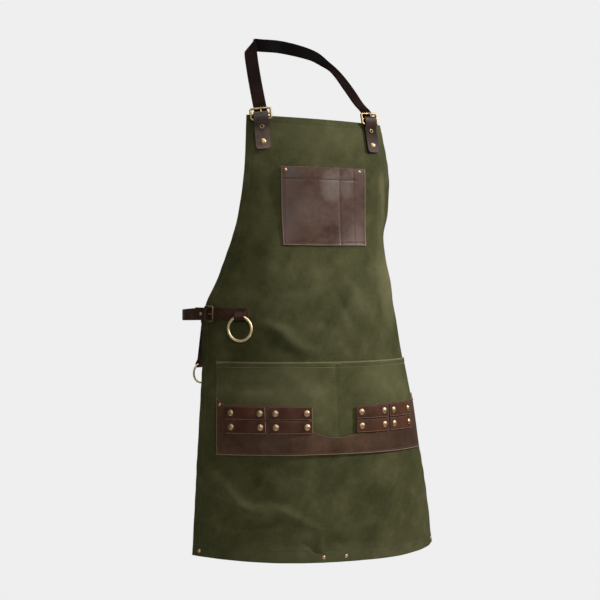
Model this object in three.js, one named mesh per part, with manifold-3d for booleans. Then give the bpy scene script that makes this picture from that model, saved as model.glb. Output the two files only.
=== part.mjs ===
// Canvas work apron with leather pockets, tool loops, neck strap and waist strap, in the form it has when worn.
// Millimetres, +Z up, front towards -Y, +X to the viewer's right. The origin is the nape, under the strap.
import * as THREE from 'three';
import { mergeVertices } from 'three/addons/utils/BufferGeometryUtils.js';
import Module from 'manifold-3d';

const wasm = await Module();
wasm.setup();

// Walls and clearances
const CANVAS_WALL = 1.4;
const LEATHER_WALL = 2;
const STRAP_WALL = 2.6;
const SEAT_GAP = 0.3;
const CLOTH_GAP = 0.7;

// The canvas as worn, one row for each level from the hem to the top of the bib.
// z is the height; front is y on the centre line; half is half the cloth's width along its own surface;
// left and right are the turn of the cloth at each edge, in degrees, leftBend and rightBend how late it comes;
// tilt is how far the right edge drops below the centre line and the left edge rises above it.
const LEVELS = [
  { z: -939, front: -262, half: 265, left: 42, right: 62, leftBend: 1.2, rightBend: 2, tilt: 0 },
  { z: -845, front: -270, half: 264, left: 46, right: 64, leftBend: 1.2, rightBend: 1.65, tilt: 0 },
  { z: -742, front: -277, half: 263, left: 51, right: 66, leftBend: 1.2, rightBend: 1.25, tilt: 0 },
  { z: -655, front: -272, half: 261, left: 59, right: 70, leftBend: 1.2, rightBend: 1.15, tilt: 0 },
  { z: -576, front: -262, half: 260, left: 68, right: 76, leftBend: 1.2, rightBend: 1.1, tilt: 0 },
  { z: -507, front: -252, half: 254, left: 66, right: 84, leftBend: 1.2, rightBend: 1.2, tilt: 0 },
  { z: -468, front: -244, half: 239, left: 60, right: 84, leftBend: 1.2, rightBend: 1.25, tilt: 0 },
  { z: -434, front: -236, half: 218, left: 59, right: 82, leftBend: 1.2, rightBend: 1.4, tilt: 0 },
  { z: -391, front: -224, half: 195, left: 57, right: 76, leftBend: 1.35, rightBend: 1.45, tilt: 1 },
  { z: -351, front: -215, half: 175, left: 51, right: 69, leftBend: 1.5, rightBend: 1.6, tilt: 2 },
  { z: -307, front: -210, half: 160, left: 42, right: 46, leftBend: 1.3, rightBend: 1.5, tilt: 2 },
  { z: -231, front: -206, half: 147, left: 32, right: 25, leftBend: 1.2, rightBend: 1.3, tilt: 3 },
  { z: -135, front: -192, half: 138, left: 23, right: 27, leftBend: 1.1, rightBend: 1.1, tilt: 7 },
];
const BIB_TOP = LEVELS[LEVELS.length - 1].z;
const HEM = LEVELS[0].z;
const HEM_RISE = 15;

// Long soft folds of the cloth: s and z of both ends, the half width of the fold and its height.
const FOLDS = [
  { sTop: 118, zTop: -230, sBottom: 165, zBottom: -520, width: 22, height: 5 },
  { sTop: -60, zTop: -540, sBottom: -120, zBottom: -930, width: 45, height: 4 },
  { sTop: 90, zTop: -760, sBottom: 120, zBottom: -950, width: 40, height: 5 },
];

// Chest pocket: s of its sides, z of its ends, then its parts between stitched lines and how far each gapes.
const CHEST = { left: -80, right: 86, bottom: -366, top: -224 };
const CHEST_PARTS = [
  { from: CHEST.left, to: 31, gape: 10 },
  { from: 31, to: 60, gape: 9 },
  { from: 60, to: CHEST.right, gape: 9 },
];

// Lower pocket and the leather base sewn over it
const LOWER = { half: 223, bottom: -742, top: -576 };
const LOWER_PARTS = [
  { from: -LOWER.half, to: 0, gape: 11 },
  { from: 0, to: LOWER.half, gape: 11 },
];
const BASE = { inset: 0.6, low: 30, rise: 58, scoop: 60, corner: 12, cornerFrom: 207 };

// Tool strips: s of the ends of each pair, and height of each row above the pocket's bottom
const STRIP_SPANS = [
  { name: 'left_outer', from: -204, to: -132 },
  { name: 'left_inner', from: -125, to: -50 },
  { name: 'right_inner', from: 35, to: 106 },
  { name: 'right_outer', from: 111, to: 180 },
];
const STRIP_ROWS = [
  { name: 'upper', low: 63.2, high: 85.6 },
  { name: 'lower', low: 38.6, high: 61 },
];
const STRIP_LOOP = 9;
const STRIP_RIVET_INSET = 10;
const STRIP_LOOP_COLUMNS = 8;

// Rivets, by radius and height
const LARGE_RIVET = { radius: 6, height: 3 };
const SMALL_RIVET = { radius: 3.6, height: 2 };
const EYELET = { outer: 4.2, inner: 1.9, height: 1.1 };
const HEM_RIVETS = [
  { name: 'left_corner', s: -252 },
  { name: 'left_middle', s: -22 },
  { name: 'right_middle', s: 22 },
  { name: 'right_corner', s: 252 },
];
const HEM_RIVET_RISE = 10;
const CHEST_RIVET_INSET = { left: 7, right: 13, top: 6.5 };
const BASE_RIVET_INSET = 6.5;

// Bib tabs and neck buckles
const TABS = [
  { name: 'left', s: -110.5, top: -141, lean: 2 },
  { name: 'right', s: 106.5, top: -137, lean: 4 },
];
const TAB = { length: 59, width: 27, corner: 6, wall: LEATHER_WALL };
const TAB_RIVET_DROP = 41.5;
const TAB_EYELET_DROP = 14;
const BUCKLE = { width: 41, height: 23.5, wire: 4.4, corner: 5, middleBar: true };
const PRONG = { width: 3, thick: 2.4, over: 2 };
const BORE_SPARE = 0.5;

// Neck strap: the middle of the strap on its way from the left buckle round the nape to the right one,
// and the direction of one of its edges. At each buckle it goes in behind the top bar and ends behind the bib.
const NECK_WIDTH = 24;
const NECK_TAIL = { above: 1.5, end: -172, gap: 1 };
const NECK_ROUTE = [
  { x: -108, y: -137, z: -60, ax: 0.92, ay: -0.38, az: 0.05 },
  { x: -100, y: -95, z: -6, ax: 0.85, ay: -0.2, az: 0.45 },
  { x: -84, y: -60, z: 8, ax: 0.35, ay: 0, az: 0.93 },
  { x: -50, y: -20, z: 12, ax: 0.05, ay: 0, az: 1 },
  { x: 0, y: 0, z: 12, ax: 0.1, ay: 0.06, az: 0.99 },
  { x: 55, y: -16, z: -3, ax: 0.5, ay: 0.36, az: 0.77 },
  { x: 71, y: -34, z: -18, ax: 0.85, ay: 0.39, az: 0.33 },
  { x: 86, y: -56, z: -36, ax: 0.89, ay: 0.45, az: 0.07 },
  { x: 99, y: -92, z: -72, ax: 0.96, ay: 0.28, az: 0 },
  { x: 101, y: -133, z: -101, ax: 0.93, ay: 0.36, az: -0.03 },
];
const NECK_STEPS = 48;

// Side strap, its ring and the waist buckle on the left edge
const WAIST_Z = -490;
const SIDE_STRAP = { from: -154, to: -236, height: 22 };
const SIDE_RING = { outer: 49, wire: 5 };
const KEEPER = { s: -168, z: -495, width: 19, bore: 4.3, leg: 13, wall: LEATHER_WALL };
const WAIST_BUCKLE = { s: -230, lift: 3.2, width: 21, height: 30, wire: 3.4, corner: 4 };
const WAIST_FOLD = { heading: 62, length: 24, lap: 7, rivet: 11, height: 22.4, wall: LEATHER_WALL };

// Waist strap: plan of its way round the back, from the fold to the inside of the canvas at its right edge
const WAIST_STRAP_HEIGHT = 20;
const WAIST_ROUTE = [
  { x: -228, y: -105, z: -492 },
  { x: -222, y: -65, z: -494 },
  { x: -206, y: -25, z: -496 },
  { x: -154, y: 24, z: -498 },
  { x: -84, y: 47, z: -500 },
  { x: 0, y: 54, z: -500 },
  { x: 80, y: 46, z: -499 },
  { x: 142, y: 20, z: -497 },
  { x: 176, y: -22, z: -494 },
];
const WAIST_STEPS = 48;
const WAIST_END = { clear: 8, overlap: 24, rivet: 10, gap: 0.7 };

// Hanger of the second ring: row of the strap's route that it hangs on, drop to the ring's eye, and lean
const HANGER = { row: 3.15, width: 16, drop: 93, bore: 4.3, wall: LEATHER_WALL, lean: 0.16, slot: 2.4 };
const HANGER_RIVET_RISE = 13;
const REAR_RING = { outer: 40, wire: 4 };

const FINISHES = {
  canvas: { color: 0x3c4229, roughness: 0.85, metalness: 0 },
  leather: { color: 0x3a1f18, roughness: 0.55, metalness: 0 },
  strap: { color: 0x21130f, roughness: 0.5, metalness: 0 },
  brass: { color: 0xb08d57, roughness: 0.35, metalness: 1 },
};

const apron = new THREE.Group();
apron.name = 'canvas_apron';

function addPiece(name, geometry, finish) {
  const mesh = new THREE.Mesh(geometry, new THREE.MeshStandardMaterial(FINISHES[finish]));
  mesh.name = name;
  apron.add(mesh);
  return mesh;
}

// Value of one column of a table of levels at height z, on a smooth curve through its rows.
function columnAt(rows, column, z) {
  const last = rows.length - 1;
  let k = 0;
  while (k < last - 1 && z > rows[k + 1].z) {
    k += 1;
  }
  const slope = (i) => {
    const below = rows[Math.max(i - 1, 0)];
    const above = rows[Math.min(i + 1, last)];
    return (above[column] - below[column]) / (above.z - below.z);
  };
  const low = rows[k];
  const high = rows[k + 1];
  const span = high.z - low.z;
  const t = (z - low.z) / span;
  const t2 = t * t;
  const t3 = t2 * t;
  return (2 * t3 - 3 * t2 + 1) * low[column] + (t3 - 2 * t2 + t) * span * slope(k)
    + (3 * t2 - 2 * t3) * high[column] + (t3 - t2) * span * slope(k + 1);
}

function levelAt(z) {
  const level = { z };
  for (const column of ['front', 'half', 'left', 'right', 'leftBend', 'rightBend', 'tilt']) {
    level[column] = columnAt(LEVELS, column, z);
  }
  return level;
}

// Height of the folds over the plain form of the cloth.
function foldLift(s, z) {
  let lift = 0;
  for (const fold of FOLDS) {
    const along = (fold.zTop - z) / (fold.zTop - fold.zBottom);
    const middle = THREE.MathUtils.lerp(fold.sTop, fold.sBottom, along);
    const start = THREE.MathUtils.smoothstep(along, 0, 0.3);
    const fade = start * (1 - THREE.MathUtils.smoothstep(along, 0.75, 1.15));
    const across = (s - middle) / fold.width;
    lift += fold.height * fade * Math.exp(-across * across);
  }
  return lift;
}

const TURN_STEPS = 24;

// Point of the plain form of the cloth: s along its surface from the centre line, z its height before the tilt.
function plainPoint(s, z) {
  const level = levelAt(z);
  const side = s < 0 ? -1 : 1;
  const turn = THREE.MathUtils.degToRad(s < 0 ? level.left : level.right);
  const bend = s < 0 ? level.leftBend : level.rightBend;
  const step = Math.abs(s) / TURN_STEPS;
  let x = 0;
  let y = level.front;
  for (let i = 0; i < TURN_STEPS; i += 1) {
    const heading = turn * Math.pow((i + 0.5) * step / level.half, bend);
    x += step * Math.cos(heading);
    y += step * Math.sin(heading);
  }
  return new THREE.Vector3(side * x, y, z - level.tilt * s / level.half);
}

const PROBE = 2;

function plainNormal(s, z) {
  const along = plainPoint(s + PROBE, z).sub(plainPoint(s - PROBE, z));
  const up = plainPoint(s, z + PROBE).sub(plainPoint(s, z - PROBE));
  return along.cross(up).normalize();
}

// Point at a height over the outer face of the folded cloth.
function clothPoint(s, z, lift = 0) {
  return plainPoint(s, z).addScaledVector(plainNormal(s, z), foldLift(s, z) + lift);
}

// Local axes on a surface over the cloth: along it to the right, up it, and out of it.
function surfaceFrame(s, z, liftAt) {
  const spot = (ds, dz) => clothPoint(s + ds, z + dz, liftAt(s + ds, z + dz));
  const along = spot(PROBE, 0).sub(spot(-PROBE, 0));
  const up = spot(0, PROBE).sub(spot(0, -PROBE)).normalize();
  const out = along.cross(up).normalize();
  return { point: spot(0, 0), along: up.clone().cross(out), up, out };
}

function clothFrame(s, z) {
  return surfaceFrame(s, z, () => 0);
}

// Upright axes at a place on the cloth, for what hangs or stands plumb there.
function plumbFrame(s, z) {
  const { point, along } = clothFrame(s, z);
  const level = new THREE.Vector3(along.x, along.y, 0).normalize();
  const up = new THREE.Vector3(0, 0, 1);
  return { point, along: level, up, out: level.clone().cross(up) };
}

// Stand a piece in a frame: its x along, its y up, its z out, lifted off the frame's point.
function seat(mesh, frame, lift) {
  mesh.quaternion.setFromRotationMatrix(new THREE.Matrix4().makeBasis(frame.along, frame.up, frame.out));
  mesh.position.copy(frame.point).addScaledVector(frame.out, lift);
  return mesh;
}

function indexedGeometry(points, triangles) {
  const geometry = new THREE.BufferGeometry();
  geometry.setAttribute('position', new THREE.Float32BufferAttribute(points.flatMap((p) => p.toArray()), 3));
  geometry.setIndex(triangles);
  geometry.computeVertexNormals();
  return geometry;
}

// Closed wall between an inner and an outer face. place(u, v) gives the cloth coordinates and both lifts.
function clothWall(columns, rows, place) {
  const points = [];
  const count = (columns + 1) * (rows + 1);
  for (const face of ['inner', 'outer']) {
    for (let j = 0; j <= rows; j += 1) {
      for (let i = 0; i <= columns; i += 1) {
        const spot = place(i / columns, j / rows);
        points.push(clothPoint(spot.s, spot.z, spot[face]));
      }
    }
  }
  const triangles = [];
  const quad = (a, b, c, d) => triangles.push(a, b, c, a, c, d);
  const at = (i, j) => j * (columns + 1) + i;
  for (let j = 0; j < rows; j += 1) {
    for (let i = 0; i < columns; i += 1) {
      const [a, b, c, d] = [at(i, j), at(i + 1, j), at(i + 1, j + 1), at(i, j + 1)];
      quad(count + a, count + b, count + c, count + d);
      quad(a, d, c, b);
    }
  }
  for (let i = 0; i < columns; i += 1) {
    quad(at(i, 0), at(i + 1, 0), count + at(i + 1, 0), count + at(i, 0));
    quad(at(i + 1, rows), at(i, rows), count + at(i, rows), count + at(i + 1, rows));
  }
  for (let j = 0; j < rows; j += 1) {
    quad(at(0, j + 1), at(0, j), count + at(0, j), count + at(0, j + 1));
    quad(at(columns, j), at(columns, j + 1), count + at(columns, j + 1), count + at(columns, j));
  }
  return indexedGeometry(points, triangles);
}

// How far a pocket stands off the cloth: closed at its sides, bottom and stitched lines, open at the top.
function pocketLift(parts, s, rise) {
  const part = parts.find((each) => s <= each.to) ?? parts[parts.length - 1];
  const across = THREE.MathUtils.clamp((s - part.from) / (part.to - part.from), 0, 1);
  const belly = Math.pow(Math.sin(Math.PI * across), 0.7);
  return CLOTH_GAP + part.gape * belly * Math.pow(THREE.MathUtils.clamp(rise, 0, 1), 0.8);
}

// Columns of a pocket panel, with an edge on each stitched line.
function partedColumns(parts, columnsEach) {
  const columns = parts.flatMap((part, k) => (
    Array.from({ length: columnsEach[k] }, (_, i) => (
      THREE.MathUtils.lerp(part.from, part.to, i / columnsEach[k])
    ))
  ));
  columns.push(parts[parts.length - 1].to);
  return columns;
}

function chestLift(s, z) {
  return pocketLift(CHEST_PARTS, s, (z - CHEST.bottom) / (CHEST.top - CHEST.bottom));
}

function lowerLift(s, z) {
  return pocketLift(LOWER_PARTS, s, (z - LOWER.bottom) / (LOWER.top - LOWER.bottom));
}

// Domed rivet head or shallow stud, flat underneath.
function rivet(name, frame, lift, { radius, height }) {
  const profile = [
    new THREE.Vector2(0, 0),
    new THREE.Vector2(radius, 0),
    new THREE.Vector2(radius, height * 0.3),
    new THREE.Vector2(radius * 0.72, height * 0.82),
    new THREE.Vector2(0, height),
  ];
  const geometry = new THREE.LatheGeometry(profile, 8).rotateX(Math.PI / 2);
  return seat(addPiece(name, geometry, 'brass'), frame, lift + SEAT_GAP);
}

function eyelet(name, frame, lift) {
  const { outer, inner, height } = EYELET;
  const profile = [
    new THREE.Vector2(inner, 0),
    new THREE.Vector2(outer, 0),
    new THREE.Vector2((outer + inner) / 2, height),
    new THREE.Vector2(inner, 0),
  ];
  const geometry = new THREE.LatheGeometry(profile, 10).rotateX(Math.PI / 2);
  return seat(addPiece(name, geometry, 'brass'), frame, lift + SEAT_GAP);
}

function roundedRectangle(path, width, height, corner, middle = 0) {
  const x = width / 2 - corner;
  const [low, high] = [middle - height / 2 + corner, middle + height / 2 - corner];
  path.moveTo(x, low - corner);
  path.absarc(x, low, corner, -Math.PI / 2, 0, false);
  path.absarc(x, high, corner, 0, Math.PI / 2, false);
  path.absarc(-x, high, corner, Math.PI / 2, Math.PI, false);
  path.absarc(-x, low, corner, Math.PI, Math.PI * 1.5, false);
  path.closePath();
  return path;
}

// Buckle frame of round wire, flat on the local xy plane and centred on it.
function buckleFrame({ width, height, wire, corner, middleBar = false }) {
  const bevel = wire * 0.29;
  const core = wire - 2 * bevel;
  const outline = roundedRectangle(new THREE.Shape(), width - 2 * bevel, height - 2 * bevel, corner - bevel);
  const room = middleBar ? (height - 3 * wire) / 2 : height - 2 * wire;
  for (const y of middleBar ? [-(wire + room) / 2, (wire + room) / 2] : [0]) {
    const inner = Math.max(corner - wire, 0.4) + bevel;
    const size = [width - 2 * wire + 2 * bevel, room + 2 * bevel];
    outline.holes.push(roundedRectangle(new THREE.Path(), ...size, inner, y));
  }
  return new THREE.ExtrudeGeometry(outline, {
    depth: core,
    bevelEnabled: true,
    bevelThickness: bevel,
    bevelSize: bevel,
    bevelSegments: 1,
    curveSegments: middleBar ? 2 : 3,
  }).translate(0, 0, -core / 2);
}

// Prong: a tapered pin along local y from its root to its tip.
function prong(length) {
  const { width, thick } = PRONG;
  const outline = new THREE.Shape();
  outline.moveTo(-width / 2, 0);
  outline.lineTo(width / 2, 0);
  outline.lineTo(width / 3, length);
  outline.lineTo(-width / 3, length);
  outline.closePath();
  return new THREE.ExtrudeGeometry(outline, { depth: thick, bevelEnabled: false }).translate(0, 0, -thick / 2);
}

// Turn an extrusion of a (y, z) profile so that its depth runs along local x, centred.
function alongX(geometry, depth) {
  const turn = new THREE.Matrix4().makeBasis(
    new THREE.Vector3(0, 1, 0),
    new THREE.Vector3(0, 0, 1),
    new THREE.Vector3(1, 0, 0),
  );
  return geometry.translate(0, 0, -depth / 2).applyMatrix4(turn);
}

// Leather folded round a bar: an eye of the given bore with a doubled leg that runs down from it. The profile
// lies in (y, z) with the eye at the origin, reaching up by its rise, and its back face is flat.
function foldedLeather({ bore, wall, leg, width, rise = 0 }) {
  const outer = bore + wall;
  const front = -outer + 2 * wall + SEAT_GAP;
  const outline = new THREE.Shape();
  outline.moveTo(-leg, -outer);
  outline.lineTo(rise, -outer);
  outline.absarc(rise, 0, outer, -Math.PI / 2, Math.PI * 0.5, false);
  outline.lineTo(-bore * 0.4, outer);
  outline.lineTo(-outer * 1.6, front);
  outline.lineTo(-leg, front);
  outline.closePath();
  const eye = new THREE.Path();
  eye.absarc(rise, 0, bore, Math.PI / 2, rise ? -Math.PI / 2 : -Math.PI * 1.5, true);
  if (rise) eye.absarc(0, 0, bore, -Math.PI / 2, -Math.PI * 1.5, true);
  outline.holes.push(eye);
  const body = new THREE.ExtrudeGeometry(outline, { depth: width, bevelEnabled: false, curveSegments: 7 });
  return alongX(body, width);
}

function toSolid(geometry) {
  const bare = geometry.clone();
  bare.deleteAttribute('normal');
  bare.deleteAttribute('uv');
  const merged = mergeVertices(bare, 1e-4);
  return new wasm.Manifold(new wasm.Mesh({
    numProp: 3,
    vertProperties: new Float32Array(merged.attributes.position.array),
    triVerts: new Uint32Array(merged.index.array),
  }));
}

function fromSolid(solid) {
  const mesh = solid.getMesh();
  const geometry = new THREE.BufferGeometry();
  geometry.setAttribute('position', new THREE.BufferAttribute(mesh.vertProperties, 3));
  geometry.setIndex(new THREE.BufferAttribute(mesh.triVerts, 1));
  geometry.computeVertexNormals();
  return geometry;
}

// Strap along a row of stations, each with a point, the direction across the strap and the one out of it.
function strap(stations, width, wall) {
  const points = stations.flatMap(({ point, across, out }) => (
    [[-1, -1], [1, -1], [1, 1], [-1, 1]].map(([a, b]) => (
      point.clone().addScaledVector(across, a * width / 2).addScaledVector(out, b * wall / 2)
    ))
  ));
  const triangles = [];
  const quad = (a, b, c, d) => triangles.push(a, b, c, a, c, d);
  const last = (stations.length - 1) * 4;
  for (let k = 0; k < last; k += 4) {
    for (let i = 0; i < 4; i += 1) {
      const j = (i + 1) % 4;
      quad(k + i, k + j, k + 4 + j, k + 4 + i);
    }
  }
  quad(3, 2, 1, 0);
  quad(last, last + 1, last + 2, last + 3);
  return indexedGeometry(points, triangles);
}

// Stations along a curve; acrossAt(t) gives the direction of the strap's width, made square to the curve.
function stationsOn(curve, steps, acrossAt) {
  return Array.from({ length: steps + 1 }, (_, i) => {
    const t = i / steps;
    const forward = curve.getTangent(t);
    const across = acrossAt(t).addScaledVector(forward, -acrossAt(t).dot(forward)).normalize();
    return { point: curve.getPoint(t), across, out: forward.clone().cross(across), forward };
  });
}

function vectorOf(row, [x, y, z] = ['x', 'y', 'z']) {
  return new THREE.Vector3(row[x], row[y], row[z]);
}

function canvasBody() {
  const columns = 32;
  const rows = 27;
  addPiece('canvas_body', clothWall(columns, rows, (u, v) => {
    const side = 2 * u - 1;
    const z = THREE.MathUtils.lerp(HEM + HEM_RISE * side * side, BIB_TOP, v);
    return { s: side * levelAt(z).half, z, inner: -CANVAS_WALL, outer: 0 };
  }), 'canvas');
}

function chestPocket() {
  const columns = partedColumns(CHEST_PARTS, [8, 4, 4]);
  const rows = 8;
  addPiece('chest_pocket', clothWall(columns.length - 1, rows, (u, v) => {
    const s = columns[Math.round(u * (columns.length - 1))];
    const z = THREE.MathUtils.lerp(CHEST.bottom, CHEST.top, v);
    const lift = chestLift(s, z);
    return { s, z, inner: lift, outer: lift + LEATHER_WALL };
  }), 'leather');
  const { left, right, top } = CHEST_RIVET_INSET;
  for (const [name, s] of [['left', CHEST.left + left], ['right', CHEST.right - right]]) {
    const z = CHEST.top - top;
    const face = (at, height) => chestLift(at, height) + LEATHER_WALL;
    rivet(`chest_rivet_${name}`, surfaceFrame(s, z, face), 0, SMALL_RIVET);
  }
}

function lowerPocket() {
  const columns = partedColumns(LOWER_PARTS, [14, 14]);
  const rows = 7;
  addPiece('lower_pocket', clothWall(columns.length - 1, rows, (u, v) => {
    const s = columns[Math.round(u * (columns.length - 1))];
    const z = THREE.MathUtils.lerp(LOWER.bottom, LOWER.top, v);
    const lift = lowerLift(s, z);
    return { s, z, inner: lift, outer: lift + CANVAS_WALL };
  }), 'canvas');
}

// Height of the leather base over the pocket's bottom edge: low in the middle, with raised end corners.
function baseHeight(s) {
  const across = s / BASE.scoop;
  const corner = Math.max(0, (Math.abs(s) - BASE.cornerFrom) / (LOWER.half - BASE.cornerFrom));
  return BASE.low + BASE.rise * (1 - Math.exp(-across * across)) + BASE.corner * corner;
}

function baseLift(s, z) {
  return lowerLift(s, z) + CANVAS_WALL + SEAT_GAP;
}

function pocketLeather() {
  const columns = partedColumns(LOWER_PARTS, [14, 14]);
  const rows = 4;
  addPiece('pocket_leather', clothWall(columns.length - 1, rows, (u, v) => {
    const s = columns[Math.round(u * (columns.length - 1))];
    const z = LOWER.bottom + BASE.inset + v * (baseHeight(s) - BASE.inset);
    const lift = baseLift(s, z);
    return { s, z, inner: lift, outer: lift + LEATHER_WALL };
  }), 'leather');
  for (const [name, side] of [['left', -1], ['right', 1]]) {
    const s = side * (LOWER.half - BASE_RIVET_INSET);
    const z = LOWER.bottom + baseHeight(s) - BASE_RIVET_INSET;
    const face = (at, height) => baseLift(at, height) + LEATHER_WALL;
    rivet(`pocket_rivet_${name}`, surfaceFrame(s, z, face), 0, SMALL_RIVET);
  }
}

function stripSeat(s, z) {
  return baseLift(s, z) + LEATHER_WALL + CLOTH_GAP;
}

// Each strip is held at both ends and stands off between its rivets, so that a tool goes in behind it.
function toolStrip(name, from, to, low, high) {
  const held = STRIP_RIVET_INSET + LARGE_RIVET.radius + 1;
  const free = { from: from + held, to: to - held };
  const loop = partedColumns([free], [STRIP_LOOP_COLUMNS]);
  const columns = [from, ...loop, to];
  const loopAt = (s) => (
    STRIP_LOOP * Math.sin(Math.PI * THREE.MathUtils.clamp((s - free.from) / (free.to - free.from), 0, 1))
  );
  addPiece(name, clothWall(columns.length - 1, 1, (u, v) => {
    const s = columns[Math.round(u * (columns.length - 1))];
    const z = LOWER.bottom + THREE.MathUtils.lerp(low, high, v);
    const lift = stripSeat(s, z) + loopAt(s);
    return { s, z, inner: lift, outer: lift + LEATHER_WALL };
  }), 'leather');
  const face = (s, z) => stripSeat(s, z) + LEATHER_WALL;
  for (const [end, s] of [['left', from + STRIP_RIVET_INSET], ['right', to - STRIP_RIVET_INSET]]) {
    const z = LOWER.bottom + (low + high) / 2;
    rivet(`${name}_rivet_${end}`, surfaceFrame(s, z, face), 0, LARGE_RIVET);
  }
}

function toolStrips() {
  for (const { name, from, to } of STRIP_SPANS) {
    for (const row of STRIP_ROWS) {
      toolStrip(`strip_${name}_${row.name}`, from, to, row.low, row.high);
    }
  }
}

function hemRivets() {
  for (const { name, s } of HEM_RIVETS) {
    const side = s / LEVELS[0].half;
    const z = HEM + HEM_RISE * side * side + HEM_RIVET_RISE;
    rivet(`hem_rivet_${name}`, clothFrame(s, z), 0, SMALL_RIVET);
  }
}

// The neck strap's seats at a buckle: behind the canvas, behind the tab's fold where it stands over the canvas,
// and behind the top bar.
function neckSeats(s, frame, barLift) {
  const behind = -CANVAS_WALL - NECK_TAIL.gap - STRAP_WALL / 2;
  const end = surfaceFrame(s, NECK_TAIL.end, () => behind).point;
  const edge = surfaceFrame(s, BIB_TOP + NECK_TAIL.above, () => behind).point;
  const at = (rise, lift) => (
    frame.point.clone().addScaledVector(frame.up, rise).addScaledVector(frame.out, lift - STRAP_WALL / 2)
  );
  const rise = (BUCKLE.height - BUCKLE.wire) / 2;
  const bare = edge.clone().sub(frame.point).dot(frame.up) < rise / 2;
  const fold = bare ? [at(rise, CLOTH_GAP - NECK_TAIL.gap)] : [];
  const bar = at(2 * rise, barLift - BUCKLE.wire / 2 - SEAT_GAP);
  return { points: [end, edge, ...fold, bar], along: frame.along };
}

// Prong that leans from the front of the leather round the middle bar to the front of the top bar.
function leaningProng(foldRadius, rise) {
  const clear = SEAT_GAP + PRONG.thick / 2;
  const slope = Math.asin((foldRadius - BUCKLE.wire / 2) / rise);
  const foot = foldRadius + clear;
  const pin = prong(rise * Math.cos(slope) + PRONG.over).rotateX(-slope);
  return pin.translate(0, rise + foot * Math.sin(slope), foot * Math.cos(slope));
}

function neckFittings() {
  const bore = BUCKLE.wire / 2 + BORE_SPARE;
  const eyeLift = CLOTH_GAP + bore + TAB.wall;
  const rise = (BUCKLE.height - BUCKLE.wire) / 2;
  const seats = {};
  for (const { name, s, top, lean } of TABS) {
    const leg = TAB.length - bore - TAB.wall;
    const frame = clothFrame(s, top - leg / 2);
    for (const axis of [frame.along, frame.up]) {
      axis.applyAxisAngle(frame.out, THREE.MathUtils.degToRad(lean));
    }
    frame.point.addScaledVector(frame.up, leg / 2);
    const blank = toSolid(foldedLeather({ bore, wall: TAB.wall, leg, width: TAB.width, rise }));
    const outline = roundedRectangle(new THREE.Shape(), TAB.width, 2 * leg, TAB.corner);
    const trim = new THREE.ExtrudeGeometry(outline, { depth: 40, bevelEnabled: false, curveSegments: 4 });
    const tab = fromSolid(blank.intersect(toSolid(trim.translate(0, 0, -20))));
    seat(addPiece(`bib_tab_${name}`, tab, 'strap'), frame, eyeLift);
    const legFront = CLOTH_GAP + 2 * TAB.wall + SEAT_GAP;
    const down = (drop) => ({ ...frame, point: frame.point.clone().addScaledVector(frame.up, -drop) });
    rivet(`bib_rivet_${name}`, down(TAB_RIVET_DROP), legFront, LARGE_RIVET);
    eyelet(`bib_eyelet_${name}`, down(TAB_EYELET_DROP), legFront);
    const buckle = addPiece(`neck_buckle_${name}`, buckleFrame(BUCKLE).translate(0, rise, 0), 'brass');
    seat(buckle, frame, eyeLift);
    seat(addPiece(`neck_prong_${name}`, leaningProng(bore + TAB.wall, rise), 'brass'), frame, eyeLift);
    seats[name] = neckSeats(s, frame, eyeLift);
  }
  return seats;
}

function neckStrap({ left, right }) {
  const rows = NECK_ROUTE.map((row) => vectorOf(row));
  const points = [...left.points, ...rows, ...right.points.toReversed()];
  const edges = [
    ...left.points.map(() => left.along.clone()),
    ...NECK_ROUTE.map((row) => vectorOf(row, ['ax', 'ay', 'az'])),
    ...right.points.map(() => right.along.clone()),
  ];
  const route = new THREE.CatmullRomCurve3(points, false, 'centripetal');
  const edge = new THREE.CatmullRomCurve3(edges);
  const stations = stationsOn(route, NECK_STEPS, (t) => edge.getPoint(t));
  addPiece('neck_strap', strap(stations, NECK_WIDTH, STRAP_WALL), 'strap');
}

function sideStrap() {
  const { from, to, height } = SIDE_STRAP;
  addPiece('side_strap', clothWall(12, 1, (u, v) => ({
    s: THREE.MathUtils.lerp(to, from, u),
    z: WAIST_Z + (v - 0.5) * height,
    inner: SEAT_GAP,
    outer: SEAT_GAP + STRAP_WALL,
  })), 'strap');
}

// Ring hanging plumb from an eye: the stretch of its wire inside the eye lies evenly about the eye's axis.
function hangingRing(name, eye, frame, { outer, wire }, eyeWidth) {
  const radius = (outer - wire) / 2;
  const sag = radius - Math.sqrt(radius * radius - eyeWidth * eyeWidth / 4);
  const ring = addPiece(name, new THREE.TorusGeometry(radius, wire / 2, 6, 24), 'brass');
  seat(ring, { ...frame, point: eye }, 0);
  ring.position.addScaledVector(frame.up, sag / 2 - radius);
}

function sideRing() {
  const frame = plumbFrame(KEEPER.s, KEEPER.z);
  const lift = SEAT_GAP + STRAP_WALL + SEAT_GAP + KEEPER.bore + KEEPER.wall;
  const keeper = foldedLeather(KEEPER).rotateZ(Math.PI);
  seat(addPiece('ring_keeper', keeper, 'leather'), frame, lift);
  const eye = frame.point.clone().addScaledVector(frame.out, lift);
  hangingRing('side_ring', eye, frame, SIDE_RING, KEEPER.width);
}

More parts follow.
